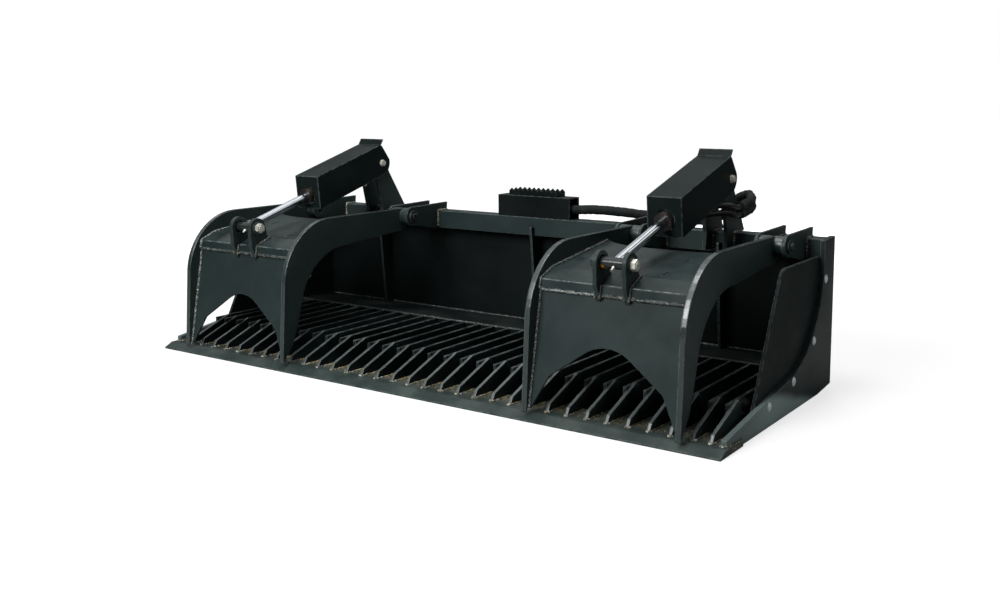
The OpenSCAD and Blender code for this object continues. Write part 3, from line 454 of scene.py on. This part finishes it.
def make_paints():
    painted("bucket_paint", THIN, FULL)
    # The bucket's inside walls, floor and ribs: the same paint made much darker, a painted shade
    painted("inside_painted_shade", DEEP_THIN, DEEP_FULL, dust=0.12, gloss=0.10, wear=0.25, rough=(0.45, 0.6))
    # The side panels: the paint made much darker, a painted shade
    painted("panel_painted_shade", (0.005, 0.008, 0.008, 1), (0.008, 0.012, 0.012, 1), gloss=0.10, rough=(0.45, 0.6))
    painted("step_paint", DEEP_THIN, DEEP_FULL, dust=0.7, gloss=0.10, patch=22.0,
            dust_colour=(0.11, 0.105, 0.07, 1))
    painted("pad_paint", DEEP_THIN, DEEP_FULL, dust=0.0, gloss=0.10, wear=0.35, edge=0.002)
    # The side plates: a darker copy of the paint, a painted shade, with a pale painted reflection along their
    # foot
    painted("side_shade_and_reflection", (0.009, 0.015, 0.015, 1), (0.015, 0.023, 0.022, 1), gloss=0.15, edge=0.006,
            under_dust=painted_reflection_band)
    painted("jaw_paint", THIN, FULL, wear=0.3)
    # The roof's bare front fold: partly edge wear, partly a painted highlight
    painted("roof_paint", (0.012, 0.021, 0.021, 1), (0.018, 0.029, 0.029, 1), dust=0.45, patch=14.0,
            dust_colour=(0.048, 0.066, 0.062, 1), wear=1.0, edge=0.007, rough=(0.26, 0.44),
            bare=(0.28, 0.33, 0.32, 1), wear_and_highlight_to=-0.29)
    painted("beam_paint", THIN, FULL, dust=0.5, wear=0.6)
    painted("tine_paint", DEEP_THIN, THIN, wear=0.8, dust=0.75, patch=30.0, dust_colour=(0.13, 0.15, 0.14, 1),
            bare=(0.13, 0.16, 0.155, 1))
    # A lighter, glossier copy of the tine paint for the faces that face front and up: a painted highlight
    painted("tine_painted_highlight", (0.045, 0.058, 0.056, 1), (0.075, 0.092, 0.088, 1), wear=0.8, edge=0.004, gloss=0.6,
            rough=(0.3, 0.45))
    painted("arm_edge", THIN, FULL, wear=0.45, edge=0.006, gloss=0.9, rough=(0.16, 0.30), dust=0.1)
    painted("edge_paint", (0.016, 0.028, 0.027, 1), (0.026, 0.040, 0.038, 1), wear=0.7, dust=0.5,
            over_dust=weld_grit)
    # The cylinder cover, barrel and base eye: the paint made much darker, a painted shade
    painted("cover_painted_shade", (0.0040, 0.0075, 0.0075, 1), (0.007, 0.012, 0.012, 1), wear=0.6, dust=0.2,
            edge=0.007, gloss=0.08, dust_colour=(0.05, 0.065, 0.06, 1))
    painted("boss_paint", THIN, FULL, wear=0.9, edge=0.010, gloss=0.5, rough=(0.25, 0.4), dust=0.4,
            bare=(0.26, 0.29, 0.27, 1))
    painted("pin_paint", DEEP_THIN, THIN, wear=0.9, edge=0.004, dust=0.1)


def make_metals_and_hoses():
    metal("gland_steel", (0.014, 0.014, 0.013, 1), (0.024, 0.014, 0.010, 1), (0.3, 0.5), grain=60.0,
          metallic=0.1)
    metal("pin_steel", (0.20, 0.20, 0.19, 1), (0.10, 0.095, 0.09, 1), (0.35, 0.55))
    metal("zinc_plate", (0.86, 0.86, 0.80, 1), (0.60, 0.58, 0.48, 1), (0.30, 0.5), metallic=0.55)
    metal("bolt_zinc", (0.80, 0.87, 0.87, 1), (0.45, 0.50, 0.50, 1), (0.3, 0.5), metallic=0.35, edge=0.004)
    metal("rod_chrome", (0.78, 0.83, 0.87, 1), (0.70, 0.75, 0.80, 1), (0.05, 0.11), grain=30.0)
    metal("hose_cover", (0.008, 0.008, 0.009, 1), (0.014, 0.014, 0.015, 1), (0.32, 0.42), metallic=0.0,
          gloss=0.35)
    woven("sleeve_fabric", (0.009, 0.011, 0.011, 1), (0.024, 0.027, 0.026, 1))
    woven("trunk_fabric", (0.003, 0.005, 0.005, 1), (0.008, 0.011, 0.011, 1))
    bare_tube("tube_plain")
    bare_tube("tube_rust", Spot=(0.686, -0.366, 0.436), Rusted=1.0)


def make_weld_finishes():
    welded("weld_pale", (0.040, 0.052, 0.050, 1), (0.26, 0.29, 0.27, 1), (0.48, 0.50, 0.46, 1), 150.0, 0.52)
    welded("weld_faint", (0.018, 0.024, 0.023, 1), (0.12, 0.14, 0.13, 1), (0.28, 0.28, 0.24, 1), 110.0, 0.56)
    welded("weld_tan", (0.040, 0.050, 0.047, 1), (0.42, 0.45, 0.42, 1), TAN, 130.0, 0.52)
    welded("weld_rust", (0.035, 0.045, 0.042, 1), (0.30, 0.30, 0.24, 1), (0.45, 0.27, 0.06, 1), 120.0, 0.58)
    welded("weld_streak", (0.040, 0.050, 0.047, 1), (0.42, 0.32, 0.13, 1), (0.50, 0.44, 0.28, 1), 110.0, 0.47)


JAW_FINISHES = {
    "outer_arm": "jaw_paint", "inner_arm": "jaw_paint", "face_plate": "jaw_paint", "top_plate": "roof_paint",
    "stiffeners": "bucket_paint", "hinge_bosses": "boss_paint", "rod_lugs": "jaw_paint",
    "barrel": "cover_painted_shade", "gland": "gland_steel", "base_eye": "cover_painted_shade", "cover": "cover_painted_shade",
    "port_fittings": "zinc_plate", "rod": "rod_chrome", "piston": "pin_steel", "rod_pin": "zinc_plate",
    "port_hoses": "hose_cover"}
BUCKET_FINISHES = {
    "front_tines": "tine_paint", "grid_bars": "tine_paint", "top_beam": "beam_paint",
    "cutting_edge": "edge_paint", "panel_bolts": "bolt_zinc", "hinge_pins": "pin_paint",
    "side_plate_left": "side_shade_and_reflection", "side_plate_right": "side_shade_and_reflection", "back_wall": "inside_painted_shade",
    "rear_floor_plate": "inside_painted_shade", "back_ribs": "inside_painted_shade", "floor_cross_bars": "inside_painted_shade",
    "side_panel_left": "panel_painted_shade", "side_panel_right": "panel_painted_shade",
    "base_pins": "zinc_plate", "hydraulic_block": "pin_steel", "step_box": "step_paint",
    "step_pad": "pad_paint", "hose_trunk": "sleeve_fabric", "hose_loop": "sleeve_fabric",
    "hinge_ears": "beam_paint", "cylinder_towers": "beam_paint"}


def finish_of(node_name):
    for side in SIDES:
        if node_name.startswith(side + "_"):
            return JAW_FINISHES[node_name[len(side) + 1:]]
    return BUCKET_FINISHES.get(node_name, "bucket_paint")


def dress_frame():
    for name, node in nodes.items():
        node.data.materials.clear()
        node.data.materials.append(FINISHES[finish_of(name)])


def dress_faces(node_name, finish, chosen):
    """Gives another finish to the chosen faces of a node."""
    mesh = nodes[node_name].data
    mesh.materials.append(FINISHES[finish])
    for face in mesh.polygons:
        if chosen(face):
            face.material_index = len(mesh.materials) - 1


# How far past the cross tube's size a face still counts as its own
TUBE_SKIN = 1.02
TUBE_ENDS = 1.01


def dress_rods():
    """The rod's cross tube is dark steel. The pin's washers and its left head are painted like the jaw."""
    pin = mm([(0, *ROD_PIN)])[0]
    for side, sign in SIDES.items():
        middle = (sign*JAW_X + CYLINDER_SHIFT)/1000
        dark_to = (LUG_X + LUG_T/2 + WASHER_REACH)/1000

        def on_tube(face):
            off = face.center - pin
            beside = abs(face.center.x - middle)
            return math.hypot(off.y, off.z) < TUBE_R*TUBE_SKIN/1000 and beside < TUBE_HALF*TUBE_ENDS/1000

        dress_faces(side + "_rod", "tube_rust" if side == "right" else "tube_plain", on_tube)
        dress_faces(side + "_rod_pin", "jaw_paint", lambda face: face.center.x - middle < dark_to)


def dress_edges():
    """Narrow edges are glossier than the sides of their plates. The tines' faces that face front and up get a
    painted highlight, a lighter copy of their paint. The ribs' fronts take the glossy edge paint and the
    wall's back plain paint, outside the painted shade of the bucket's inside.
    """
    for side in SIDES:
        for arm in ("outer_arm", "inner_arm"):
            dress_faces(side + "_" + arm, "arm_edge", lambda face: abs(face.normal.x) < 0.5)
    dress_faces("front_tines", "tine_painted_highlight", lambda face: face.normal.y < -0.3 and face.normal.z > 0.1)
    dress_faces("back_ribs", "arm_edge", lambda face: face.normal.y < -0.5)
    dress_faces("back_wall", "bucket_paint", lambda face: face.normal.y > 0.5)


# Building pieces from rings

def new_piece(name, verts, faces, finish):
    mesh = bpy.data.meshes.new(name)
    mesh.from_pydata([tuple(v) for v in verts], [], faces)
    mesh.polygons.foreach_set("use_smooth", [True]*len(mesh.polygons))
    mesh.materials.append(FINISHES[finish])
    piece = bpy.data.objects.new(name, mesh)
    scene.collection.objects.link(piece)
    return piece


def even_steps(points, step):
    """Points at even steps along a line."""
    lengths = [(b - a).length for a, b in zip(points, points[1:])]
    total = sum(lengths)
    count = max(2, round(total/step))
    made, i, passed = [], 0, 0.0
    for k in range(count + 1):
        goal = total*k/count
        while i < len(lengths) - 1 and passed + lengths[i] < goal:
            passed += lengths[i]
            i += 1
        share = (goal - passed)/lengths[i] if lengths[i] else 0
        made.append(points[i].lerp(points[i + 1], min(1.0, share)))
    return made


def smooth_route(points, per_span=10):
    """A round curve through every point of a route."""
    made = []
    for i in range(len(points) - 1):
        p0, p1, p2 = points[max(i - 1, 0)], points[i], points[i + 1]
        p3 = points[min(i + 2, len(points) - 1)]
        for k in range(per_span):
            t = k/per_span
            twice = (2*p1) + (p2 - p0)*t + (2*p0 - 5*p1 + 4*p2 - p3)*t*t + (3*p1 - p0 - 3*p2 + p3)*t**3
            made.append(0.5*twice)
    return made + [points[-1]]


def ahead_at(route, i):
    """The direction of a route at one of its points."""
    return (route[min(i + 1, len(route) - 1)] - route[max(i - 1, 0)]).normalized()


def ring_faces(rings, sides, clockwise=False):
    """Quads between rings of vertices, and a cap on each end."""
    faces = []
    for i in range(rings - 1):
        for k in range(sides):
            n = (k + 1) % sides
            a, b, c, d = i*sides + k, i*sides + n, (i + 1)*sides + n, (i + 1)*sides + k
            faces.append((a, d, c, b) if clockwise else (a, b, c, d))
    first = tuple(range(sides))
    last = tuple((rings - 1)*sides + k for k in range(sides))
    return faces + ([first, last[::-1]] if clockwise else [first[::-1], last])


def tube_rings(route, radius_at, sides):
    """Vertices and faces of a tube; radius_at takes the length passed and the angle."""
    verts, passed, last = [], 0.0, route[0]
    for i, p in enumerate(route):
        ahead = ahead_at(route, i)
        across = ahead.cross(Vector((0, 0, 1)) if abs(ahead.z) < 0.95 else Vector((1, 0, 0))).normalized()
        up = across.cross(ahead)
        passed += (p - last).length
        last = p
        for k in range(sides):
            a = 2*math.pi*k/sides
            verts.append(p + radius_at(passed, a)*(math.cos(a)*across + math.sin(a)*up))
    return verts, ring_faces(len(route), sides)


def lathed(profile, seat, toward, sides=18):
    """A turned piece: profile gives (distance along, radius) from its seat."""
    side_way = toward.orthogonal().normalized()
    other = toward.cross(side_way)
    verts = []
    for along, r in profile:
        for k in range(sides):
            a = 2*math.pi*k/sides
            verts.append(seat + along*toward + r*(math.cos(a)*side_way + math.sin(a)*other))
    return verts, ring_faces(len(profile), sides, clockwise=True)


def joined(parts):
    verts, faces = [], []
    for v, f in parts:
        faces += [tuple(i + len(verts) for i in face) for face in f]
        verts += v
    return verts, faces


# Welds: the bead's own sizes are in metres, and its place in millimetres

BEAD_R = 0.0042
STREAK_R = 0.0030
BEAD_STEP = 0.0022
BEAD_SIDES = 7
RIPPLE = 0.0065
RIPPLE_LOW = 0.82
RIPPLE_RISE = 0.22
UNEVEN = 0.35
UNEVEN_PER_METRE = 160

STAND_OFF = 1.5
TINE_SIDE = TINE_T/2 + STAND_OFF
TINE_BEAD = [(-TINE_SIDE, 112, 0), (-TINE_SIDE, 60, 0), (-2, TINE_FRONT - 3, 1), (2, TINE_FRONT - 3, 1),
             (TINE_SIDE, 60, 0), (TINE_SIDE, 88, 0)]
NOSE_BEAD = [(1043, 138, 0), (1043, 54, 0), (1047, 49, 1), (1057, 49, 1), (1060, 56, 0), (1060, 84, 0)]
STREAK_ASIDE = TINE_T/2 + 2
STREAK_Y = (84, 134)

FACE_SEAM = [(FACE_FOOT[0] - STAND_OFF, FACE_FOOT[1]), (LIP[0] - 2, LIP[1])]
ROOF_SEAM = [(LIP[0] - 1 - ROOF_T, LIP[1] + 1), (FOLD[0] - ROOF_T - 1, FOLD[1] + 2),
             (SECOND_FOLD[0] - 3, SECOND_FOLD[1] + ROOF_T + STAND_OFF),
             (ROOF_SEAM_END, roof_height(ROOF_SEAM_END) + ROOF_T + STAND_OFF)]
LIP_BEADS = (("outer", -FACE_HALF, -47, "weld_pale"), ("middle", -32, 42, "weld_rust"),
             ("inner", 57, FACE_HALF, "weld_faint"))
LUG_BEND = (FOLD[0] - ROOF_T - STAND_OFF, FOLD[1] + 2)
LUG_FRONT = [(69, 352), (70, 362), LUG_BEND]
LUG_TOP = [LUG_BEND, (SECOND_FOLD[0] - 3, SECOND_FOLD[1] + ROOF_T + 2)]


def bead(points, radius, seed):
    """One weld bead: ripples along it, and an uneven edge."""
    def radius_at(passed, a):
        swell = RIPPLE_LOW + RIPPLE_RISE*abs(math.sin(math.pi*passed/RIPPLE))
        drift = noise.noise(Vector((passed*UNEVEN_PER_METRE, seed*7.3, math.sin(a)*0.8)))
        return radius*swell*(1 + UNEVEN*drift)
    return tube_rings(even_steps(mm(points), BEAD_STEP), radius_at, BEAD_SIDES)


def add_welds(name, body, seams, finish, radius=BEAD_R):
    verts, faces = joined([bead(points, radius, seed) for seed, points in enumerate(seams)])
    piece = new_piece(name, verts, faces, finish)
    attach(piece, body)


def both_sides(x, thickness):
    """Where the beads run on the two sides of an upright plate."""
    return [x + face*(thickness/2 + STAND_OFF) for face in (-1, 1)]


def at_x(x, outline):
    return [(x, y, z) for y, z in outline]


def tine_welds():
    """A bead down each side of a tine's foot and round its front, and one round each side plate's nose."""
    seams = [[(x + aside, y, EDGE_T + rise) for aside, y, rise in TINE_BEAD] for x in TINE_X]
    return seams + [[(sign*x, y, EDGE_T + rise) for x, y, rise in NOSE_BEAD] for sign in SIDES.values()]


def tine_streaks():
    """The bare part of each tine's right-hand bead."""
    return [[(x + STREAK_ASIDE, y, EDGE_T) for y in STREAK_Y] for x in TINE_X]


def over_beam(x, thickness, rise, short):
    """Beads on both sides of a plate, from rise above the beam's foot to short of the wall's back."""
    front, top = BEAM_FRONT - STAND_OFF, BEAM_TOP + STAND_OFF
    return [[(at, front, BEAM_FOOT + rise), (at, front, top), (at, BACK_Y - short, top)]
            for at in both_sides(x, thickness)]


def beam_welds():
    """Along both sides of every ear and tower."""
    seams = []
    for sign in SIDES.values():
        for arm in (-1, 1):
            for e in (-0.5, 0.5):
                seams += over_beam(sign*JAW_X + arm*ARM_X + e*EAR_SPAN, EAR_T, rise=6, short=14)
        for e in (-0.5, 0.5):
            seams += over_beam(sign*JAW_X + CYLINDER_SHIFT + e*TOWER_SPAN, TOWER_T, rise=12, short=3)
    return seams


def floor_welds():
    """Where the rear floor meets the back wall, the wall the beam, and the grate the rear floor."""
    rows = [(WALL_Y - STAND_OFF, REAR_FLOOR_SEAM), (WALL_Y - STAND_OFF, BEAM_FOOT - STAND_OFF), GRATE_REAR]
    return [[(-INSIDE_HALF, y, z), (INSIDE_HALF, y, z)] for y, z in rows]


def jaw_seams(sign):
    """Face plate and roof against the arms."""
    seams = []
    for e in (-1, 1):
        x = sign*JAW_X + e*(FACE_HALF - 1)
        seams += [at_x(x, FACE_SEAM), at_x(x, ROOF_SEAM)]
    return seams


def lip_seam(sign, start, end):
    """Part of the bead along the flange's lower edge on the face plate."""
    return [[(sign*JAW_X + x, LIP[0] - 4, LIP[1] - STAND_OFF) for x in (start, end)]]


def lug_seams(sign):
    """Up both sides of each rod lug, and back over the roof on the right."""
    middle = sign*JAW_X + CYLINDER_SHIFT
    seams = [at_x(x, LUG_FRONT) for e in (-1, 1) for x in both_sides(middle + e*LUG_X, LUG_T)]
    return seams + [at_x(both_sides(middle + LUG_X, LUG_T)[1], LUG_TOP)]


def add_bucket_welds():
    add_welds("tine_welds", "bucket", tine_welds(), "weld_tan")
    add_welds("beam_welds", "bucket", beam_welds(), "weld_tan")
    add_welds("tine_streaks", "bucket", tine_streaks(), "weld_streak", STREAK_R)
    add_welds("floor_welds", "bucket", floor_welds(), "weld_faint")


def add_jaw_welds():
    """The left jaw's lip beads are all faint."""
    for side, sign in SIDES.items():
        body = side + "_jaw"
        add_welds(side + "_jaw_welds", body, jaw_seams(sign), "weld_pale")
        add_welds(side + "_lug_welds", body, lug_seams(sign), "weld_rust")
        for label, start, end, finish in LIP_BEADS:
            add_welds(side + "_lip_weld_" + label, body, lip_seam(sign, start, end),
                      finish if side == "right" else "weld_faint")


# Hoses: the part's own routes, with their other sizes in metres

TRUNK_ROUTE = [(86, 792, 492), (150, 792, 496), (220, 795, 500), (290, 806, 499), (350, 824, 494),
               (405, 845, 488), (480, 850, 484), (560, 850, 482), (630, 852, 485), (672, 858, 502),
               (693, 862, 522), (710, 863, 537), (729, 863, 548)]
LOOP_ROUTE = [(730, 863, 549), (749, 861, 560), (770, 852, 564), (786, 834, 558), (793, 811, 549),
              (791, 789, 542), (785, 768, 536), (784, 747, 535)]
ROD_HOSE_ROUTE = [(784, 746, 524), (783, 720, 523), (782, 693, 528), (776, 667, 534), (764, 643, 535),
                  (750, 620, 534), (737, 596, 532), (727, 570, 528), (720, 542, 523), (718, 515, 519),
                  (718, 489, 513), (718, 462, 505)]
BASE_HOSE_ROUTE = [(784, 746, 546), (783, 724, 545), (784, 703, 549), (783, 682, 554), (778, 662, 557),
                   (769, 647, 558), (757, 638, 558), (745, 638, 558)]
TRUNK_R = 0.0165
TRUNK_FOLD = 0.10
LOOP_R = 0.0150
LOOP_FOLD = 0.24
LOOP_APART = 0.0115
HOSE_R = 0.0095
WRINKLES_PER_METRE = 95
WRINKLE_SHARE = 0.55
CREASES_PER_METRE = 48
CREASE_SHARE = 1.1
SLANT = 0.004
SLEEVE_STEP = 0.0025
SLEEVE_SIDES = 28
HOSE_SIDES = 20


def sleeve(route, radius, fold, seed):
    """A fabric sleeve with crosswise wrinkles, as deep as fold says."""
    def radius_at(passed, a):
        along = passed + SLANT*math.sin(a + seed)
        wave = noise.noise(Vector((along*WRINKLES_PER_METRE, math.cos(a)*0.9 + seed*3.1, math.sin(a)*0.9)))
        crease = noise.noise(Vector((along*CREASES_PER_METRE, math.cos(a)*0.6 + seed, math.sin(a)*0.6 + 4)))
        return radius*(1 + fold*(WRINKLE_SHARE*wave - CREASE_SHARE*abs(crease)))
    return tube_rings(even_steps(smooth_route(route), SLEEVE_STEP), radius_at, SLEEVE_SIDES)


def lifted(route, rise):
    """A second route square above or below the first."""
    made = []
    for i, p in enumerate(route):
        ahead = ahead_at(route, i)
        across = ahead.cross(Vector((0, 0, 1))).normalized()
        made.append(p + rise*across.cross(ahead))
    return made


def add_hoses():
    trunk = new_piece("trunk_sleeve", *sleeve(mm(TRUNK_ROUTE), TRUNK_R, TRUNK_FOLD, 1), "trunk_fabric")
    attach(trunk, "bucket")
    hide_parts("hose_trunk")
    pair = [sleeve(lifted(mm(LOOP_ROUTE), e*LOOP_APART), LOOP_R, LOOP_FOLD, 3 + e) for e in (-1, 1)]
    loops = new_piece("loop_sleeves", *joined(pair), "sleeve_fabric")
    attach(loops, "bucket")
    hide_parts("hose_loop")
    ends = [tube_rings(smooth_route(mm(route)), lambda passed, a: HOSE_R, HOSE_SIDES)
            for route in (ROD_HOSE_ROUTE, BASE_HOSE_ROUTE)]
    hoses = new_piece("port_hose_pair", *joined(ends), "hose_cover")
    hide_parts("right_port_hoses")
    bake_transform(hoses)


# Grease fittings on the rods' cross tubes

GREASE_PROFILE = [(-0.001, 0.0048), (0.003, 0.0048), (0.0032, 0.0034), (0.0062, 0.0034), (0.0066, 0.0026),
                  (0.0085, 0.0036), (0.0102, 0.0034), (0.0114, 0.0018)]
GREASE_SHIFT = 4
GREASE_TOWARD = Vector((0, -0.84, -0.54)).normalized()


def add_grease_fittings():
    for side, sign in SIDES.items():
        seat = mm([(sign*JAW_X + CYLINDER_SHIFT + GREASE_SHIFT, *ROD_PIN)])[0] + TUBE_R/1000*GREASE_TOWARD
        verts, faces = lathed(GREASE_PROFILE, seat, GREASE_TOWARD)
        piece = new_piece(side + "_grease_fitting", verts, faces, "zinc_plate")
        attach(piece, side + "_ram")


# Studio, in metres

FLOOR_HALF = 40
FLOOR_GREY = (0.34, 0.34, 0.34, 1)
# A painted shadow: the floor under the grate is dark and does not glow
PAINTED_SHADOW_GREY = (0.02, 0.02, 0.02, 1)
PAINTED_SHADOW_X = (0.98, 1.06)
PAINTED_SHADOW_Y = (0.36, 0.45)
GLOW_REACH = (1.2, 4.5)
NEAR_GLOW = 0.72
SKY_LEVEL = 0.08
OVERHEAD_FROM = (0.42, 0.50)
GAP_FROM = (0.60, 0.64)
GAP_TO = (0.78, 0.74)

# Name, place, aim, size, watts, and whether gloss shows it
LAMPS = (
    ("top_light", (0.2, -0.5, 3.4), (0, 0, 0.2), 1.4, 50, True),
    ("front_light", (-0.4, -3.7, 2.6), (0, 0, 0.3), 2.0, 165, True),
    ("back_light", (-0.6, 4.2, 1.2), (0, 0, 0.3), 2.0, 110, False),
    ("left_light", (-4.4, 0.2, 1.6), (0, 0, 0.3), 1.6, 80, False),
    ("right_light", (4.4, 0.4, 1.4), (0, 0, 0.3), 1.6, 22, False),
)


def add_floor():
    """A pale floor with the object's shadow, white to the camera further off, and a painted shadow under the
    grate, dark and without glow.
    """
    corners = [(x*FLOOR_HALF, y*FLOOR_HALF, 0) for x, y in ((-1, -1), (1, -1), (1, 1), (-1, 1))]
    mesh = bpy.data.meshes.new("studio_floor")
    mesh.from_pydata(corners, [], [(0, 1, 2, 3)])
    floor = bpy.data.objects.new("studio_floor", mesh)
    scene.collection.objects.link(floor)
    tree, shader = new_finish("studio_floor", gloss=0.0)
    shader["Roughness"].default_value = 0.9
    shader["Emission Color"].default_value = (1, 1, 1, 1)
    where = object_place(tree)
    place = axes(tree, where)
    # Mask of the floor outside the painted shadow under the grate
    beside = spread(tree, maths(tree, "ABSOLUTE", place["X"]), *PAINTED_SHADOW_X)
    before = spread(tree, maths(tree, "ABSOLUTE", place["Y"]), *PAINTED_SHADOW_Y)
    outside_painted_shadow = maths(tree, "MAXIMUM", beside, before)
    feed(tree, mix(tree, outside_painted_shadow, PAINTED_SHADOW_GREY, FLOOR_GREY), shader["Base Color"])
    away = measured(tree, "DISTANCE", where, (0, 0, 0))
    glow = times(tree, spread(tree, away, *GLOW_REACH, NEAR_GLOW, 1.0), outside_painted_shadow)
    seen = add_node(tree, "LightPath").outputs["Is Camera Ray"]
    feed(tree, times(tree, seen, glow), shader["Emission Strength"])
    floor.data.materials.append(FINISHES["studio_floor"])


def add_world():
    """White to the camera, dim to the object, and two rows of overhead light that only gloss shows."""
    world = bpy.data.worlds.new("studio")
    scene.world = world
    world.use_nodes = True
    tree = world.node_tree
    sky = tree.nodes["Background"].inputs
    sky["Color"].default_value = (1, 1, 1, 1)
    ray = add_node(tree, "LightPath").outputs
    height = axes(tree, add_node(tree, "TexCoord").outputs["Generated"])["Z"]
    gap = times(tree, spread(tree, height, *GAP_FROM, 0.0, 0.8), spread(tree, height, *GAP_TO))
    rows = maths(tree, "SUBTRACT", spread(tree, height, *OVERHEAD_FROM, 0.0, 0.95), gap, clamp=True)
    level = maths(tree, "ADD", times(tree, ray["Is Glossy Ray"], rows), SKY_LEVEL)
    feed(tree, maths(tree, "MAXIMUM", level, ray["Is Camera Ray"]), sky["Strength"])


def add_lamp(name, at, aim, size, watts, mirrored):
    data = bpy.data.lights.new(name, "AREA")
    data.energy = watts
    data.size = size
    lamp = bpy.data.objects.new(name, data)
    scene.collection.objects.link(lamp)
    lamp.location = at
    lamp.visible_glossy = mirrored
    lamp.rotation_euler = (Vector(aim) - Vector(at)).to_track_quat("-Z", "Y").to_euler()


add_camera()
make_paints()
make_metals_and_hoses()
make_weld_finishes()
dress_frame()
dress_rods()
dress_edges()
add_hoses()
add_grease_fittings()
add_bucket_welds()
add_jaw_welds()
add_floor()
add_world()
for lamp_row in LAMPS:
    add_lamp(*lamp_row)
scene.view_settings.view_transform = "Standard"
